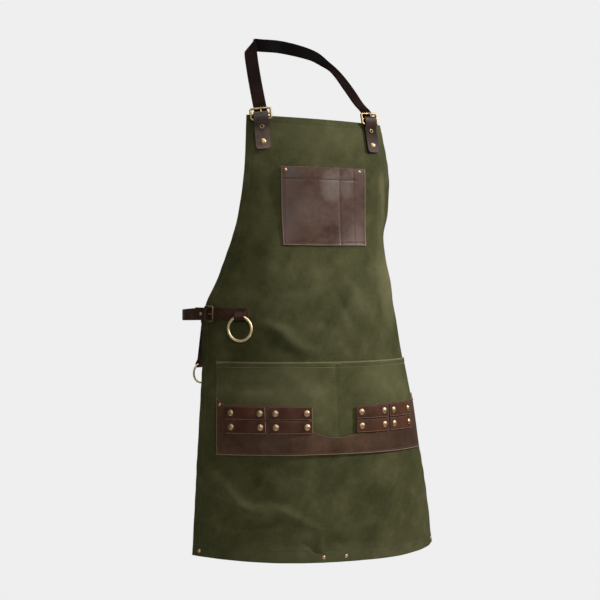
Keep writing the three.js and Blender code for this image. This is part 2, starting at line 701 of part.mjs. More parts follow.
// The waist buckle lies over the side strap, and the leather folded round its far bar carries the waist strap.
function waistBuckle() {
  const frame = plumbFrame(WAIST_BUCKLE.s, WAIST_Z);
  const lift = SEAT_GAP + STRAP_WALL + WAIST_BUCKLE.lift + WAIST_BUCKLE.wire / 2;
  seat(addPiece('waist_buckle', buckleFrame(WAIST_BUCKLE), 'brass'), frame, lift);
  const bar = (WAIST_BUCKLE.width - WAIST_BUCKLE.wire) / 2;
  const bore = WAIST_BUCKLE.wire / 2 + BORE_SPARE;
  const outer = bore + WAIST_FOLD.wall;
  const root = -bar + outer + SEAT_GAP;
  const reach = bar - WAIST_BUCKLE.wire / 2 - SEAT_GAP - root;
  const pin = prong(reach).rotateZ(-Math.PI / 2).translate(root, 0, 0);
  seat(addPiece('waist_prong', pin, 'brass'), frame, lift);
  const eye = frame.point.clone().addScaledVector(frame.out, lift).addScaledVector(frame.along, -bar);
  const heading = THREE.MathUtils.degToRad(WAIST_FOLD.heading);
  const back = new THREE.Vector3(-Math.cos(heading), Math.sin(heading), 0);
  const out = new THREE.Vector3(-Math.sin(heading), -Math.cos(heading), 0);
  const fold = { point: eye, along: new THREE.Vector3(0, 0, -1), up: back.clone().negate(), out };
  const { wall, length, height } = WAIST_FOLD;
  const leather = foldedLeather({ bore, wall, leg: length, width: height });
  seat(addPiece('waist_fold', leather, 'strap'), fold, 0);
  const face = -outer + 2 * WAIST_FOLD.wall + SEAT_GAP;
  const spot = eye.clone().addScaledVector(back, WAIST_FOLD.rivet);
  rivet('waist_fold_rivet', { ...fold, point: spot }, face, SMALL_RIVET);
  const under = -outer - SEAT_GAP - STRAP_WALL / 2;
  const lap = (far) => eye.clone().addScaledVector(back, far).addScaledVector(out, under);
  return [lap(WAIST_FOLD.lap), lap((WAIST_FOLD.lap + length) / 2), lap(length)];
}

// The waist strap runs from the fold round the back, and is riveted outside the canvas at the right edge.
function waistStrap(start) {
  const { half } = levelAt(WAIST_Z);
  const behind = -CANVAS_WALL - WAIST_END.gap - STRAP_WALL / 2;
  const end = [WAIST_END.clear, -WAIST_END.overlap / 2, -WAIST_END.overlap].map((reach) => (
    surfaceFrame(half + reach, WAIST_Z, () => behind)
  ));
  const free = [...start, ...WAIST_ROUTE.map((row) => vectorOf(row))];
  const route = new THREE.CatmullRomCurve3([...free, ...end.map((frame) => frame.point)]);
  const upright = free.map(() => new THREE.Vector3(0, 0, 1));
  const edge = new THREE.CatmullRomCurve3([...upright, ...end.map((frame) => frame.up)]);
  const stations = stationsOn(route, WAIST_STEPS, (t) => edge.getPoint(t));
  addPiece('waist_strap', strap(stations, WAIST_STRAP_HEIGHT, STRAP_WALL), 'strap');
  const spot = clothFrame(half - WAIST_END.overlap + WAIST_END.rivet, WAIST_Z);
  rivet('waist_end_rivet', spot, 0, SMALL_RIVET);
  return { route, place: (start.length + HANGER.row) / (route.points.length - 1) };
}

// Leather hanger looped over the waist strap, with an eye at its foot for the second ring.
function ringHanger({ route, place }) {
  const { width, drop, bore, wall, lean, slot } = HANGER;
  const outer = bore + wall;
  const shoulder = WAIST_STRAP_HEIGHT / 2 + SEAT_GAP + wall;
  const thick = slot + wall;
  const thin = wall + SEAT_GAP / 2;
  const outline = new THREE.Shape();
  outline.moveTo(shoulder, -thick);
  outline.lineTo(shoulder, thick);
  outline.lineTo(-shoulder, thick);
  outline.lineTo(-shoulder - thick, thin);
  outline.lineTo(-drop + outer * 1.5, thin);
  outline.absarc(-drop, 0, outer, Math.PI * 0.3, Math.PI * 1.7, false);
  outline.lineTo(-drop + outer * 1.5, -thin);
  outline.lineTo(-shoulder - thick, -thin);
  outline.lineTo(-shoulder, -thick);
  outline.closePath();
  const window = new THREE.Path();
  const room = WAIST_STRAP_HEIGHT / 2 + SEAT_GAP;
  window.moveTo(room, -slot);
  window.lineTo(-room, -slot);
  window.lineTo(-room, slot);
  window.lineTo(room, slot);
  window.closePath();
  const eye = new THREE.Path();
  eye.absarc(-drop, 0, bore, 0, Math.PI * 2, true);
  outline.holes.push(window, eye);
  const body = new THREE.ExtrudeGeometry(outline, { depth: width, bevelEnabled: false, curveSegments: 7 });
  const shear = new THREE.Matrix4().makeShear(0, 0, -lean, 0, 0, 0);
  const hanger = alongX(body, width).applyMatrix4(shear);
  const forward = route.getTangent(place).setZ(0).normalize();
  const up = new THREE.Vector3(0, 0, 1);
  const out = up.clone().cross(forward);
  const frame = { point: route.getPoint(place), along: forward.clone().negate(), up, out };
  seat(addPiece('ring_hanger', hanger, 'strap'), frame, 0);
  const down = (fall) => (
    frame.point.clone().addScaledVector(up, -fall).addScaledVector(frame.along, lean * fall)
  );
  rivet('hanger_rivet', { ...frame, point: down(drop - HANGER_RIVET_RISE) }, thin, SMALL_RIVET);
  hangingRing('rear_ring', down(drop), frame, REAR_RING, width);
}

canvasBody();
chestPocket();
lowerPocket();
pocketLeather();
toolStrips();
hemRivets();
neckStrap(neckFittings());
sideStrap();
sideRing();
ringHanger(waistStrap(waistBuckle()));

export default apron;
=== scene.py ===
import logging
import math
from collections.abc import Callable, Iterable, Sequence
from dataclasses import dataclass, fields
from enum import Enum
from typing import ClassVar

import bmesh
import bpy
import numpy as np
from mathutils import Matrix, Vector


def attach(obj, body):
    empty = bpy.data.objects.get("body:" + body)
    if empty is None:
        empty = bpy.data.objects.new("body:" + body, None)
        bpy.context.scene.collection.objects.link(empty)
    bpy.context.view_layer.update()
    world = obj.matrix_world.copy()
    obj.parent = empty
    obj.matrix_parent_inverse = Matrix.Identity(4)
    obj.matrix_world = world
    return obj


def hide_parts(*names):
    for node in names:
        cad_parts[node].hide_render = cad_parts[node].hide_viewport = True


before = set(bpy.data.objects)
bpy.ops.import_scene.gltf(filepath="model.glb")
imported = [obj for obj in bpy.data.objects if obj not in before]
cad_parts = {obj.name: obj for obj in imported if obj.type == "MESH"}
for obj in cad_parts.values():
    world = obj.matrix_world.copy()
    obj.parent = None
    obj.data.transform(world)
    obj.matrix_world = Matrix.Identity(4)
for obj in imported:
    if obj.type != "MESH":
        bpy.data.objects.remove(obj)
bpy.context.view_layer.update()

LOG = logging.getLogger("apron")
MM = 0.001
APRON_BODY = "apron"
UP = (0.0, 0.0, 1.0)
FRONT = (0.0, -1.0, 0.0)
SAME_WAY = 0.999
UNDERSIDE = 0.05
SEAM_REACH = 1.5

Array = np.ndarray
Colour = tuple[float, float, float]


class Side(Enum):
    """The two sides of the apron, as it is looked at from the front."""

    LEFT = -1
    RIGHT = 1


@dataclass(frozen=True)
class Level:
    """One level of the canvas as it hangs on its wearer: heights and widths in millimetres, turns in degrees.
    """

    z: float
    front: float
    half: float
    left: float
    right: float
    left_bend: float
    right_bend: float
    tilt: float


@dataclass(frozen=True)
class Fold:
    """A long soft fold of the canvas, from its top to its bottom, in millimetres."""

    s_top: float
    z_top: float
    s_bottom: float
    z_bottom: float
    width: float
    height: float


@dataclass(frozen=True)
class Dent:
    """A shallow dent or swelling of the free canvas: its middle, half sizes, slant and height."""

    s: float
    z: float
    across: float
    along: float
    slant: float
    height: float


@dataclass(frozen=True)
class PocketPart:
    """One compartment of a pocket, between two stitched lines, and how far its mouth gapes."""

    start: float
    end: float
    gape: float


LEVELS = (
    Level(-939, -262, 265, 42, 62, 1.2, 2, 0),
    Level(-845, -270, 264, 46, 64, 1.2, 1.65, 0),
    Level(-742, -277, 263, 51, 66, 1.2, 1.25, 0),
    Level(-655, -272, 261, 59, 70, 1.2, 1.15, 0),
    Level(-576, -262, 260, 68, 76, 1.2, 1.1, 0),
    Level(-507, -252, 254, 66, 84, 1.2, 1.2, 0),
    Level(-468, -244, 239, 60, 84, 1.2, 1.25, 0),
    Level(-434, -236, 218, 59, 82, 1.2, 1.4, 0),
    Level(-391, -224, 195, 57, 76, 1.35, 1.45, 1),
    Level(-351, -215, 175, 51, 69, 1.5, 1.6, 2),
    Level(-307, -210, 160, 42, 46, 1.3, 1.5, 2),
    Level(-231, -206, 147, 32, 25, 1.2, 1.3, 3),
    Level(-135, -192, 138, 23, 27, 1.1, 1.1, 7),
)
FOLDS = (
    Fold(118, -230, 165, -520, 22, 5),
    Fold(-60, -540, -120, -930, 45, 4),
    Fold(90, -760, 120, -950, 40, 5),
)
DENTS = (
    Dent(-30, -410, 34, 62, 0.5, -4.0),
    Dent(40, -440, 26, 70, -0.4, 3.6),
    Dent(-105, -400, 18, 50, 0.2, 3.0),
    Dent(-100, -250, 16, 46, 0.1, -2.4),
    Dent(126, -290, 7, 52, -0.12, 2.6),
    Dent(-88, -532, 20, 27, -1.0, 6.0),
    Dent(10, -530, 26, 30, -0.8, -3.0),
    Dent(88, -495, 12, 40, 0.53, 3.6),
    Dent(25, -480, 9, 34, -0.5, -1.8),
    Dent(-160, -622, 34, 9, 0, -1.6),
    Dent(62, -615, 26, 22, 0.4, 1.8),
    Dent(-70, -618, 22, 26, -0.8, 1.8),
    Dent(-202, -806, 17, 46, -0.95, 6.5),
    Dent(-143, -841, 36, 12, -1.2, 5.2),
    Dent(-150, -863, 34, 9, -1.5, -3.8),
    Dent(-75, -856, 14, 26, -1.8, 3.8),
    Dent(-96, -774, 18, 13, 0, -2.2),
    Dent(-146, -777, 20, 16, -0.4, 2.4),
    Dent(92, -786, 26, 28, 0.3, 2.8),
    Dent(32, -815, 20, 42, 0.28, -3.0),
    Dent(120, -860, 24, 40, -0.2, -2.4),
    Dent(173, -840, 8, 30, 0.68, 2.2),
    Dent(-46, -912, 6, 12, -1.4, -2.6),
    Dent(-30, -902, 6, 17, -0.1, 2.6),
    Dent(8, -903, 10, 11, -0.8, -1.7),
)


class Drape:
    """The form of the canvas as it hangs on its wearer, by s along the cloth from the centre line and z, the
    height.
    """

    TURN_STEPS = 24
    PROBE = 2.0
    FADE_IN = (0.0, 0.3)
    FADE_OUT = (0.75, 1.15)

    def __init__(self, levels: Sequence[Level], folds: Sequence[Fold], dents: Sequence[Dent]) -> None:
        """Keep the tables by column.

        Args:
            levels: the levels of the canvas, from the hem to the top.
            folds: the long folds.
            dents: the shallow dents of the free canvas.
        """
        self.heights = np.array([level.z for level in levels], float)
        names = [each.name for each in fields(Level)]
        self.columns = {name: np.array([getattr(level, name) for level in levels], float) for name in names}
        self.folds = folds
        self.dents = dents

    def column(self, name: str, z: Array) -> Array:
        """Value of one column on a smooth curve through the levels.

        Args:
            name: the column.
            z: heights in millimetres.

        Returns:
            The column's values there.
        """
        value, height = self.columns[name], self.heights
        slope = np.empty_like(value)
        slope[1:-1] = (value[2:] - value[:-2]) / (height[2:] - height[:-2])
        slope[0] = (value[1] - value[0]) / (height[1] - height[0])
        slope[-1] = (value[-1] - value[-2]) / (height[-1] - height[-2])
        k = np.clip(np.searchsorted(height, z, side="left") - 1, 0, len(height) - 2)
        span = height[k + 1] - height[k]
        t = (z - height[k]) / span
        low = (2 * t**3 - 3 * t**2 + 1) * value[k] + (t**3 - 2 * t**2 + t) * span * slope[k]
        return low + (3 * t**2 - 2 * t**3) * value[k + 1] + (t**3 - t**2) * span * slope[k + 1]

    def half(self, z: Array) -> Array:
        """Half the cloth's width at a height."""
        return self.column("half", np.asarray(z, float))

    def plain(self, s: Array, z: Array) -> Array:
        """Points of the plain form, without folds.

        Args:
            s: places along the cloth.
            z: heights before the tilt.

        Returns:
            Points in millimetres, in the last axis.
        """
        half = self.column("half", z)
        on_left = s < 0
        turn = np.radians(np.where(on_left, self.column("left", z), self.column("right", z)))
        bend = np.where(on_left, self.column("left_bend", z), self.column("right_bend", z))
        step = np.abs(s) / self.TURN_STEPS
        x = np.zeros_like(step)
        y = self.column("front", z) + x
        for i in range(self.TURN_STEPS):
            heading = turn * ((i + 0.5) * step / half) ** bend
            x = x + step * np.cos(heading)
            y = y + step * np.sin(heading)
        return np.stack([np.where(on_left, -x, x), y, z - self.column("tilt", z) * s / half], -1)

    def normal(self, s: Array, z: Array) -> Array:
        """Outward unit normals of the plain form."""
        along = self.plain(s + self.PROBE, z) - self.plain(s - self.PROBE, z)
        up = self.plain(s, z + self.PROBE) - self.plain(s, z - self.PROBE)
        out = np.cross(along, up)
        return out / np.linalg.norm(out, axis=-1, keepdims=True)

    def fold_lift(self, s: Array, z: Array) -> Array:
        """Height of the folds and dents over the plain form."""
        lift = np.zeros(np.broadcast(s, z).shape)
        for fold in self.folds:
            along = (fold.z_top - z) / (fold.z_top - fold.z_bottom)
            middle = fold.s_top + (fold.s_bottom - fold.s_top) * along
            fade = smooth_step(along, *self.FADE_IN) * (1 - smooth_step(along, *self.FADE_OUT))
            lift = lift + fold.height * fade * np.exp(-(((s - middle) / fold.width) ** 2))
        for dent in self.dents:
            dz = (z - dent.z) / dent.along
            ds = (s - dent.s - dent.slant * (z - dent.z)) / dent.across
            lift = lift + dent.height * np.exp(-ds * ds - dz**4)
        return lift

    def point(self, s: Array, z: Array, lift: Array | float = 0.0) -> Array:
        """Points at a height over the outer face of the folded cloth, in millimetres."""
        s, z = np.broadcast_arrays(np.asarray(s, float), np.asarray(z, float))
        rise = self.fold_lift(s, z) + lift
        return self.plain(s, z) + self.normal(s, z) * rise[..., None]


def smooth_step(value: Array, low: float, high: float) -> Array:
    """Smooth rise from 0 at low to 1 at high."""
    t = np.clip((value - low) / (high - low), 0, 1)
    return t * t * (3 - 2 * t)


DRAPE = Drape(LEVELS, FOLDS, DENTS)


class Shape:
    """A mesh being put together: points in millimetres, faces, their finish and a surface map."""

    def __init__(self) -> None:
        """Start empty."""
        self.points: list[Array] = []
        self.faces: list[tuple[int, ...]] = []
        self.finish: list[int] = []
        self.map: list[Array] = []
        self.count = 0

    def add(
        self, points: Array, faces: Iterable[Sequence[int]], finish: int = 0, surface: Array | None = None
    ) -> None:
        """Add a group of points and the faces on them.

        Args:
            points: points in millimetres.
            faces: faces, by index into these points.
            finish: material slot of the faces.
            surface: place of each point on the piece's own surface, in millimetres.
        """
        points = np.asarray(points, float).reshape(-1, 3)
        self.points.append(points)
        flat = points[:, [0, 2]] if surface is None else np.asarray(surface, float).reshape(-1, 2)
        self.map.append(flat)
        for face in faces:
            self.faces.append(tuple(int(i) + self.count for i in face))
            self.finish.append(finish)
        self.count += len(points)

    def build(
        self, name: str, materials: Sequence[bpy.types.Material], sharp: float = 40.0
    ) -> bpy.types.Object:
        """Make the object.

        Args:
            name: the piece's name.
            materials: its material slots.
            sharp: angle in degrees over which an edge stays sharp.

        Returns:
            The object, at the origin, with its place in its mesh.
        """
        mesh = bpy.data.meshes.new(name)
        points = np.concatenate(self.points) * MM
        mesh.from_pydata([tuple(p) for p in points], [], self.faces)
        mesh.polygons.foreach_set("material_index", self.finish)
        layer = mesh.uv_layers.new(name="Surface")
        corner = np.empty(len(mesh.loops), np.int32)
        mesh.loops.foreach_get("vertex_index", corner)
        layer.data.foreach_set("uv", (np.concatenate(self.map) * MM)[corner].astype(np.float32).ravel())
        for material in materials:
            mesh.materials.append(material)
        return show(name, mesh, sharp)


def show(name: str, mesh: bpy.types.Mesh, sharp: float = 40.0) -> bpy.types.Object:
    """Link a mesh as an object, smooth shaded except over sharp edges.

    Args:
        name: the piece's name.
        mesh: its mesh.
        sharp: angle in degrees over which an edge stays sharp.

    Returns:
        The object.
    """
    mesh.shade_smooth()
    mesh.set_sharp_from_angle(angle=math.radians(sharp))
    piece = bpy.data.objects.new(name, mesh)
    bpy.context.scene.collection.objects.link(piece)
    return piece


def soften(piece: bpy.types.Object, width: float, segments: int = 2, angle: float = 50.0) -> None:
    """Round the sharp edges of a piece.

    Args:
        piece: the piece.
        width: width of the rounding in millimetres.
        segments: steps across it.
        angle: edges sharper than this, in degrees, are rounded.
    """
    bevel = piece.modifiers.new("Soft edges", "BEVEL")
    bevel.width = width * MM
    bevel.segments = segments
    bevel.limit_method = "ANGLE"
    bevel.angle_limit = math.radians(angle)
    bevel.use_clamp_overlap = True


def wall(
    shape: Shape,
    s: Array,
    z: Array,
    inner: Array,
    outer: Array,
    edge_finish: int = 0,
    cells: Array | None = None,
) -> None:
    """Add a closed cloth or leather wall on the drape.

    Args:
        shape: the mesh being put together.
        s: places along the cloth, by row from the bottom and by column from the left.
        z: heights, in the same layout.
        inner: lift of the inner face.
        outer: lift of the outer face.
        edge_finish: material slot of the cut edges.
        cells: material slot of the outer face, by cell.
    """
    rows, columns = s.shape
    index = np.arange(rows * columns).reshape(rows, columns)
    a, b, c, d = index[:-1, :-1], index[:-1, 1:], index[1:, 1:], index[1:, :-1]
    quads = np.stack([a, b, c, d], -1).reshape(-1, 4)
    surface = np.stack([s, z], -1).reshape(-1, 2)
    count = rows * columns
    points = np.concatenate([DRAPE.point(s, z, face).reshape(-1, 3) for face in (inner, outer)])
    first = shape.count
    shape.add(points, [*quads[:, ::-1], *(quads + count)], 0, np.concatenate([surface, surface]))
    if cells is not None:
        shape.finish[-len(quads) :] = [int(cell) for cell in cells.ravel()]
    rims = [
        (index[0, :-1], index[0, 1:]),
        (index[-1, 1:], index[-1, :-1]),
        (index[1:, 0], index[:-1, 0]),
        (index[:-1, -1], index[1:, -1]),
    ]
    for start, end in rims:
        for i, j in zip(start, end):
            shape.faces.append(tuple(int(k) + first for k in (i, j, j + count, i + count)))
            shape.finish.append(edge_finish)


class Value:
    """A shader socket that takes part in Python expressions."""

    def __init__(self, shader: "Shader", socket: bpy.types.NodeSocket) -> None:
        """Keep the socket and the shader it belongs to."""
        self.shader = shader
        self.socket = socket

    def _maths(self, operation: str, first: "Value | float", second: "Value | float") -> "Value":
        """Add a Math node."""
        return self.shader.node("ShaderNodeMath", {"operation": operation}, {0: first, 1: second})

    def __add__(self, other: "Value | float") -> "Value":
        """Sum."""
        return self._maths("ADD", self, other)

    def __radd__(self, other: float) -> "Value":
        """Sum, reflected."""
        return self._maths("ADD", other, self)

    def __sub__(self, other: "Value | float") -> "Value":
        """Difference."""
        return self._maths("SUBTRACT", self, other)

    def __rsub__(self, other: float) -> "Value":
        """Difference, reflected."""
        return self._maths("SUBTRACT", other, self)

    def __mul__(self, other: "Value | float") -> "Value":
        """Product."""
        return self._maths("MULTIPLY", self, other)

    def __rmul__(self, other: float) -> "Value":
        """Product, reflected."""
        return self._maths("MULTIPLY", other, self)

    def __pow__(self, other: float) -> "Value":
        """Power."""
        return self._maths("POWER", self, other)

    def sine(self) -> "Value":
        """Sine."""
        return self.shader.node("ShaderNodeMath", {"operation": "SINE"}, {0: self})

    def clamp(self) -> "Value":
        """The value held between 0 and 1."""
        return self.shader.node("ShaderNodeClamp", {}, {"Value": self})


class Shader:
    """A material and its nodes."""

    def __init__(self, name: str) -> None:
        """Make a material with one surface shader.

        Args:
            name: the finish's name.
        """
        self.material = bpy.data.materials.new(name)
        self.material.use_nodes = True
        self.tree = self.material.node_tree
        self.surface = self.tree.nodes["Principled BSDF"]

    def node(
        self,
        kind: str,
        settings: dict[str, object] | None = None,
        sockets: dict[str | int, object] | None = None,
        output: str | int = 0,
    ) -> Value:
        """Add a node.

        Args:
            kind: the node's type.
            settings: its settings, set first.
            sockets: values of its inputs, or links to them.
            output: the output that is wanted.

        Returns:
            The output.
        """
        made = self.tree.nodes.new(kind)
        for key, value in (settings or {}).items():
            setattr(made, key, value)
        for key, value in (sockets or {}).items():
            self.link(made.inputs[key], value)
        return Value(self, made.outputs[output])

    def link(self, socket: bpy.types.NodeSocket, value: object) -> None:
        """Set a socket, or link it to a value."""
        if isinstance(value, Value):
            self.tree.links.new(value.socket, socket)
        else:
            socket.default_value = value

    def set(self, **sockets: object) -> None:
        """Set sockets of the surface shader, by name with underscores for spaces."""
        for key, value in sockets.items():
            self.link(self.surface.inputs[key.replace("_", " ")], value)

    def place(self) -> Value:
        """The point on the piece, in metres."""
        return self.node("ShaderNodeTexCoord", output="Object")

    def cloth(self) -> Value:
        """The place on the piece's own surface, in metres."""
        return self.node("ShaderNodeUVMap", {"uv_map": "Surface"})

    def coordinate(self, place: Value, axis: int) -> Value:
        """One coordinate of a place: 0 for the first."""
        return self.node("ShaderNodeSeparateXYZ", {}, {0: place}, axis)

    def stretched(self, place: Value, scale: tuple[float, float, float]) -> Value:
        """A place, scaled by axis."""
        return self.node("ShaderNodeMapping", {}, {"Vector": place, "Scale": scale})

    def turned(self, place: Value, angle: float) -> Value:
        """A place on the surface, turned by an angle in degrees."""
        return self.node("ShaderNodeMapping", {}, {"Vector": place, "Rotation": (0, 0, math.radians(angle))})

    def noise(self, place: Value, scale: float, detail: float = 3.0, rough: float = 0.5) -> Value:
        """Cloudy noise from 0 to 1.

        Args:
            place: where it is read.
            scale: features per metre.
            detail: number of finer layers.
            rough: weight of the finer layers.

        Returns:
            The noise.
        """
        sockets = {"Vector": place, "Scale": scale, "Detail": detail, "Roughness": rough}
        return self.node("ShaderNodeTexNoise", {}, sockets)

    def blend(self, share: Value | float, first: object, second: object) -> Value:
        """Mix two colours.

        Args:
            share: share of the second.
            first: a colour or a link.
            second: a colour or a link.

        Returns:
            The mixed colour.
        """
        pair = [(*each, 1) if isinstance(each, tuple) else each for each in (first, second)]
        return self.node("ShaderNodeMix", {"data_type": "RGBA"}, {0: share, 6: pair[0], 7: pair[1]}, 2)

    def bump(self, height: Value, depth: float, strength: float = 1.0) -> None:
        """Feed the surface's normal with a relief.

        Args:
            height: the relief, from 0 to 1.
            depth: its depth in millimetres.
            strength: its strength.
        """
        sockets = {"Height": height, "Distance": depth * MM, "Strength": strength}
        self.set(Normal=self.node("ShaderNodeBump", {}, sockets))


@dataclass(frozen=True)
class PaintedLight:
    """A place painted lighter or darker as painted light, sheen and shade: its middle on the cloth, half
    sizes in millimetres, and strength.
    """

    s: float
    z: float
    across: float
    along: float
    strength: float

    def share(self, shader: Shader, cloth: Value) -> Value:
        """How strongly each place is painted.

        Args:
            shader: the material.
            cloth: the place on the cloth.

        Returns:
            The share, fading from the middle.
        """
        across = (shader.coordinate(cloth, 0) - self.s * MM) * (1 / (self.across * MM))
        along = (shader.coordinate(cloth, 1) - self.z * MM) * (1 / (self.along * MM))
        return self.strength * (1 - (across**2 + along**2)).clamp()


@dataclass(frozen=True)
class CanvasFinish:
    """Waxed cotton canvas: mottled colour, fine weave and slubs. Scales are features per metre."""

    name: str
    dark: Colour
    light: Colour
    rubbed: Colour
    rubs: tuple[PaintedLight, ...] = ()
    roughness: float = 0.72
    gloss: float = 0.1
    thread: float = 0.9
    mottle_scale: float = 8
    patch_scale: float = 26
    crease_lean: float = 38
    crease_scale: tuple[float, float, float] = (34, 11, 1)
    slub_scale: tuple[float, float, float] = (900, 60, 1)
    weft_scale: tuple[float, float, float] = (60, 900, 1)
    mottle_share: float = 0.7
    patch_share: float = 0.5
    crease_share: float = 1.0
    slub_share: float = 0.9
    relief: float = 0.35

    def material(self) -> bpy.types.Material:
        """Make the material."""
        shader = Shader(self.name)
        cloth = shader.cloth()
        mottle = shader.noise(cloth, self.mottle_scale, 4, 0.55)
        patch = shader.noise(cloth, self.patch_scale, 3, 0.5)
        leaning = shader.turned(cloth, self.crease_lean)
        crease = shader.noise(shader.stretched(leaning, self.crease_scale), 1, 3, 0.55)
        slub = shader.noise(shader.stretched(cloth, self.slub_scale), 1, 2, 0.5)
        weft = shader.noise(shader.stretched(cloth, self.weft_scale), 1, 2, 0.5)
        yarn = slub + weft - 1
        share = 0.5 + (mottle - 0.5) * self.mottle_share + (patch - 0.5) * self.patch_share
        share = share + (crease - 0.5) * self.crease_share + yarn * self.slub_share
        body = shader.blend(share.clamp(), self.dark, self.light)
        wear_and_painted_light = ((patch - 0.5) * 3 + (mottle - 0.5) * 1.5).clamp() * 0.3
        # Placed patches of painted light add to the random wear.
        for each in self.rubs:
            wear_and_painted_light = wear_and_painted_light + each.share(shader, cloth) * (0.6 + patch * 0.8)
        turn = 2 * math.pi / (self.thread * MM)
        weave = (shader.coordinate(cloth, 0) * turn).sine() * (shader.coordinate(cloth, 1) * turn).sine()
        shader.set(
            Base_Color=shader.blend(wear_and_painted_light.clamp(), body, self.rubbed),
            Roughness=(self.roughness + (mottle - 0.5) * -0.25).clamp(),
            Specular_IOR_Level=self.gloss,
        )
        shader.bump(0.5 + weave * 0.28 + yarn * 0.5, self.relief, 0.7)
        return shader.material


@dataclass(frozen=True)
class LeatherFinish:
    """Oiled leather: clouded colour, fine grain and a soft gloss.

    Painted shade: where a span is given, the leather darkens between those two places along an axis, in
    millimetres. Placed spots blend in a painted sheen and shade tone.
    """

    name: str
    dark: Colour
    light: Colour
    roughness: float
    cloud: float = 26
    grain: float = 900
    relief: float = 0.25
    gloss: float = 0.25
    cloud_share: float = 2.4
    mark_share: float = 0.8
    rubs: tuple[PaintedLight, ...] = ()
    worn: Colour = (0.105, 0.08, 0.067)
    oiled: tuple[float, float] | None = None
    oil_axis: int = 1
    oil_share: float = 0.9
    oil_tone: float = 0.2

    def material(self) -> bpy.types.Material:
        """Make the material."""
        shader = Shader(self.name)
        place = shader.place()
        cloud = shader.noise(place, self.cloud, 4, 0.6)
        mark = shader.noise(place, self.cloud * 5, 3, 0.6)
        sockets = {"Vector": place, "Scale": self.grain, "Randomness": 1.0}
        cells = shader.node("ShaderNodeTexVoronoi", {"feature": "F1"}, sockets)
        share = 0.5 + (cloud - 0.5) * self.cloud_share + (mark - 0.5) * self.mark_share
        colour = shader.blend(share.clamp(), self.dark, self.light)
        # Placed spots blend in a painted sheen and shade tone.
        for wear_and_painted_light in self.rubs:
            worn = wear_and_painted_light.share(shader, shader.cloth()) * (0.5 + mark)
            colour = shader.blend(worn.clamp(), colour, self.worn)
        # Painted shade: the leather darkens over a span along one axis.
        if self.oiled:
            start, end = self.oiled
            along = shader.coordinate(place, self.oil_axis)
            painted_shade = ((along - start * MM) * (1 / ((end - start) * MM))).clamp()
            painted_shade_colour = tuple(self.oil_tone * each for each in self.dark)
            colour = shader.blend(painted_shade * self.oil_share, colour, painted_shade_colour)
        shader.set(
            Base_Color=colour,
            Roughness=(self.roughness + (mark - 0.5) * 0.3 + (cloud - 0.5) * 0.2).clamp(),
            Specular_IOR_Level=self.gloss,
        )
        shader.bump(cells * 0.6 + mark * 0.4, self.relief, 0.55)
        return shader.material


@dataclass(frozen=True)
class RawEdgeFinish:
    """The cut edge of leather: paler, dry and fibrous. Made dark, the same finish is painted into creases as
    shade.
    """

    name: str
    dark: Colour
    light: Colour

    def material(self) -> bpy.types.Material:
        """Make the material."""
        shader = Shader(self.name)
        place = shader.place()
        fibre = shader.noise(place, 700, 3, 0.6)
        run = shader.noise(place, 60, 2, 0.5)
        share = (fibre * 0.5 + run * 0.9 - 0.2).clamp()
        colour = shader.blend(share, self.dark, self.light)
        shader.set(Base_Color=colour, Roughness=(0.6 + fibre * 0.3).clamp())
        shader.bump(fibre, 0.2, 0.5)
        return shader.material


@dataclass(frozen=True)
class BrassFinish:
    """Antique brass: warm metal, dulled in patches."""

    name: str
    bright: Colour
    dull: Colour
    roughness: float = 0.26

    def material(self) -> bpy.types.Material:
        """Make the material."""
        shader = Shader(self.name)
        place = shader.place()
        patina = shader.noise(place, 120, 3, 0.5)
        fine = shader.noise(place, 900, 2, 0.5)
        age = (0.4 + (patina - 0.5) * 2 + (fine - 0.5) * 0.5).clamp()
        shader.set(
            Base_Color=shader.blend(age, self.bright, self.dull),
            Roughness=(self.roughness + age * 0.1 + (fine - 0.5) * 0.08).clamp(),
            Metallic=1.0,
        )
        shader.bump(fine, 0.04, 0.4)
        return shader.material


@dataclass(frozen=True)
class ThreadFinish:
    """Twisted sewing thread."""

    name: str
    dark: Colour
    light: Colour

    def material(self) -> bpy.types.Material:
        """Make the material."""
        shader = Shader(self.name)
        place = shader.place()
        strand = shader.noise(place, 1400, 2, 0.5)
        fade = shader.noise(place, 40, 2, 0.5)
        share = (strand * 0.6 + fade * 0.6 - 0.1).clamp()
        shader.set(Base_Color=shader.blend(share, self.dark, self.light), Roughness=0.75)
        shader.bump(strand, 0.1, 0.6)
        return shader.material


@dataclass(frozen=True)
class PaperFinish:
    """Pale matt paper for the floor."""

    name: str
    pale: Colour

    def material(self) -> bpy.types.Material:
        """Make the material."""
        shader = Shader(self.name)
        tint = shader.noise(shader.place(), 3, 2, 0.5)
        near = tuple(0.985 * each for each in self.pale)
        shader.set(Base_Color=shader.blend(tint, self.pale, near), Roughness=0.9)
        return shader.material


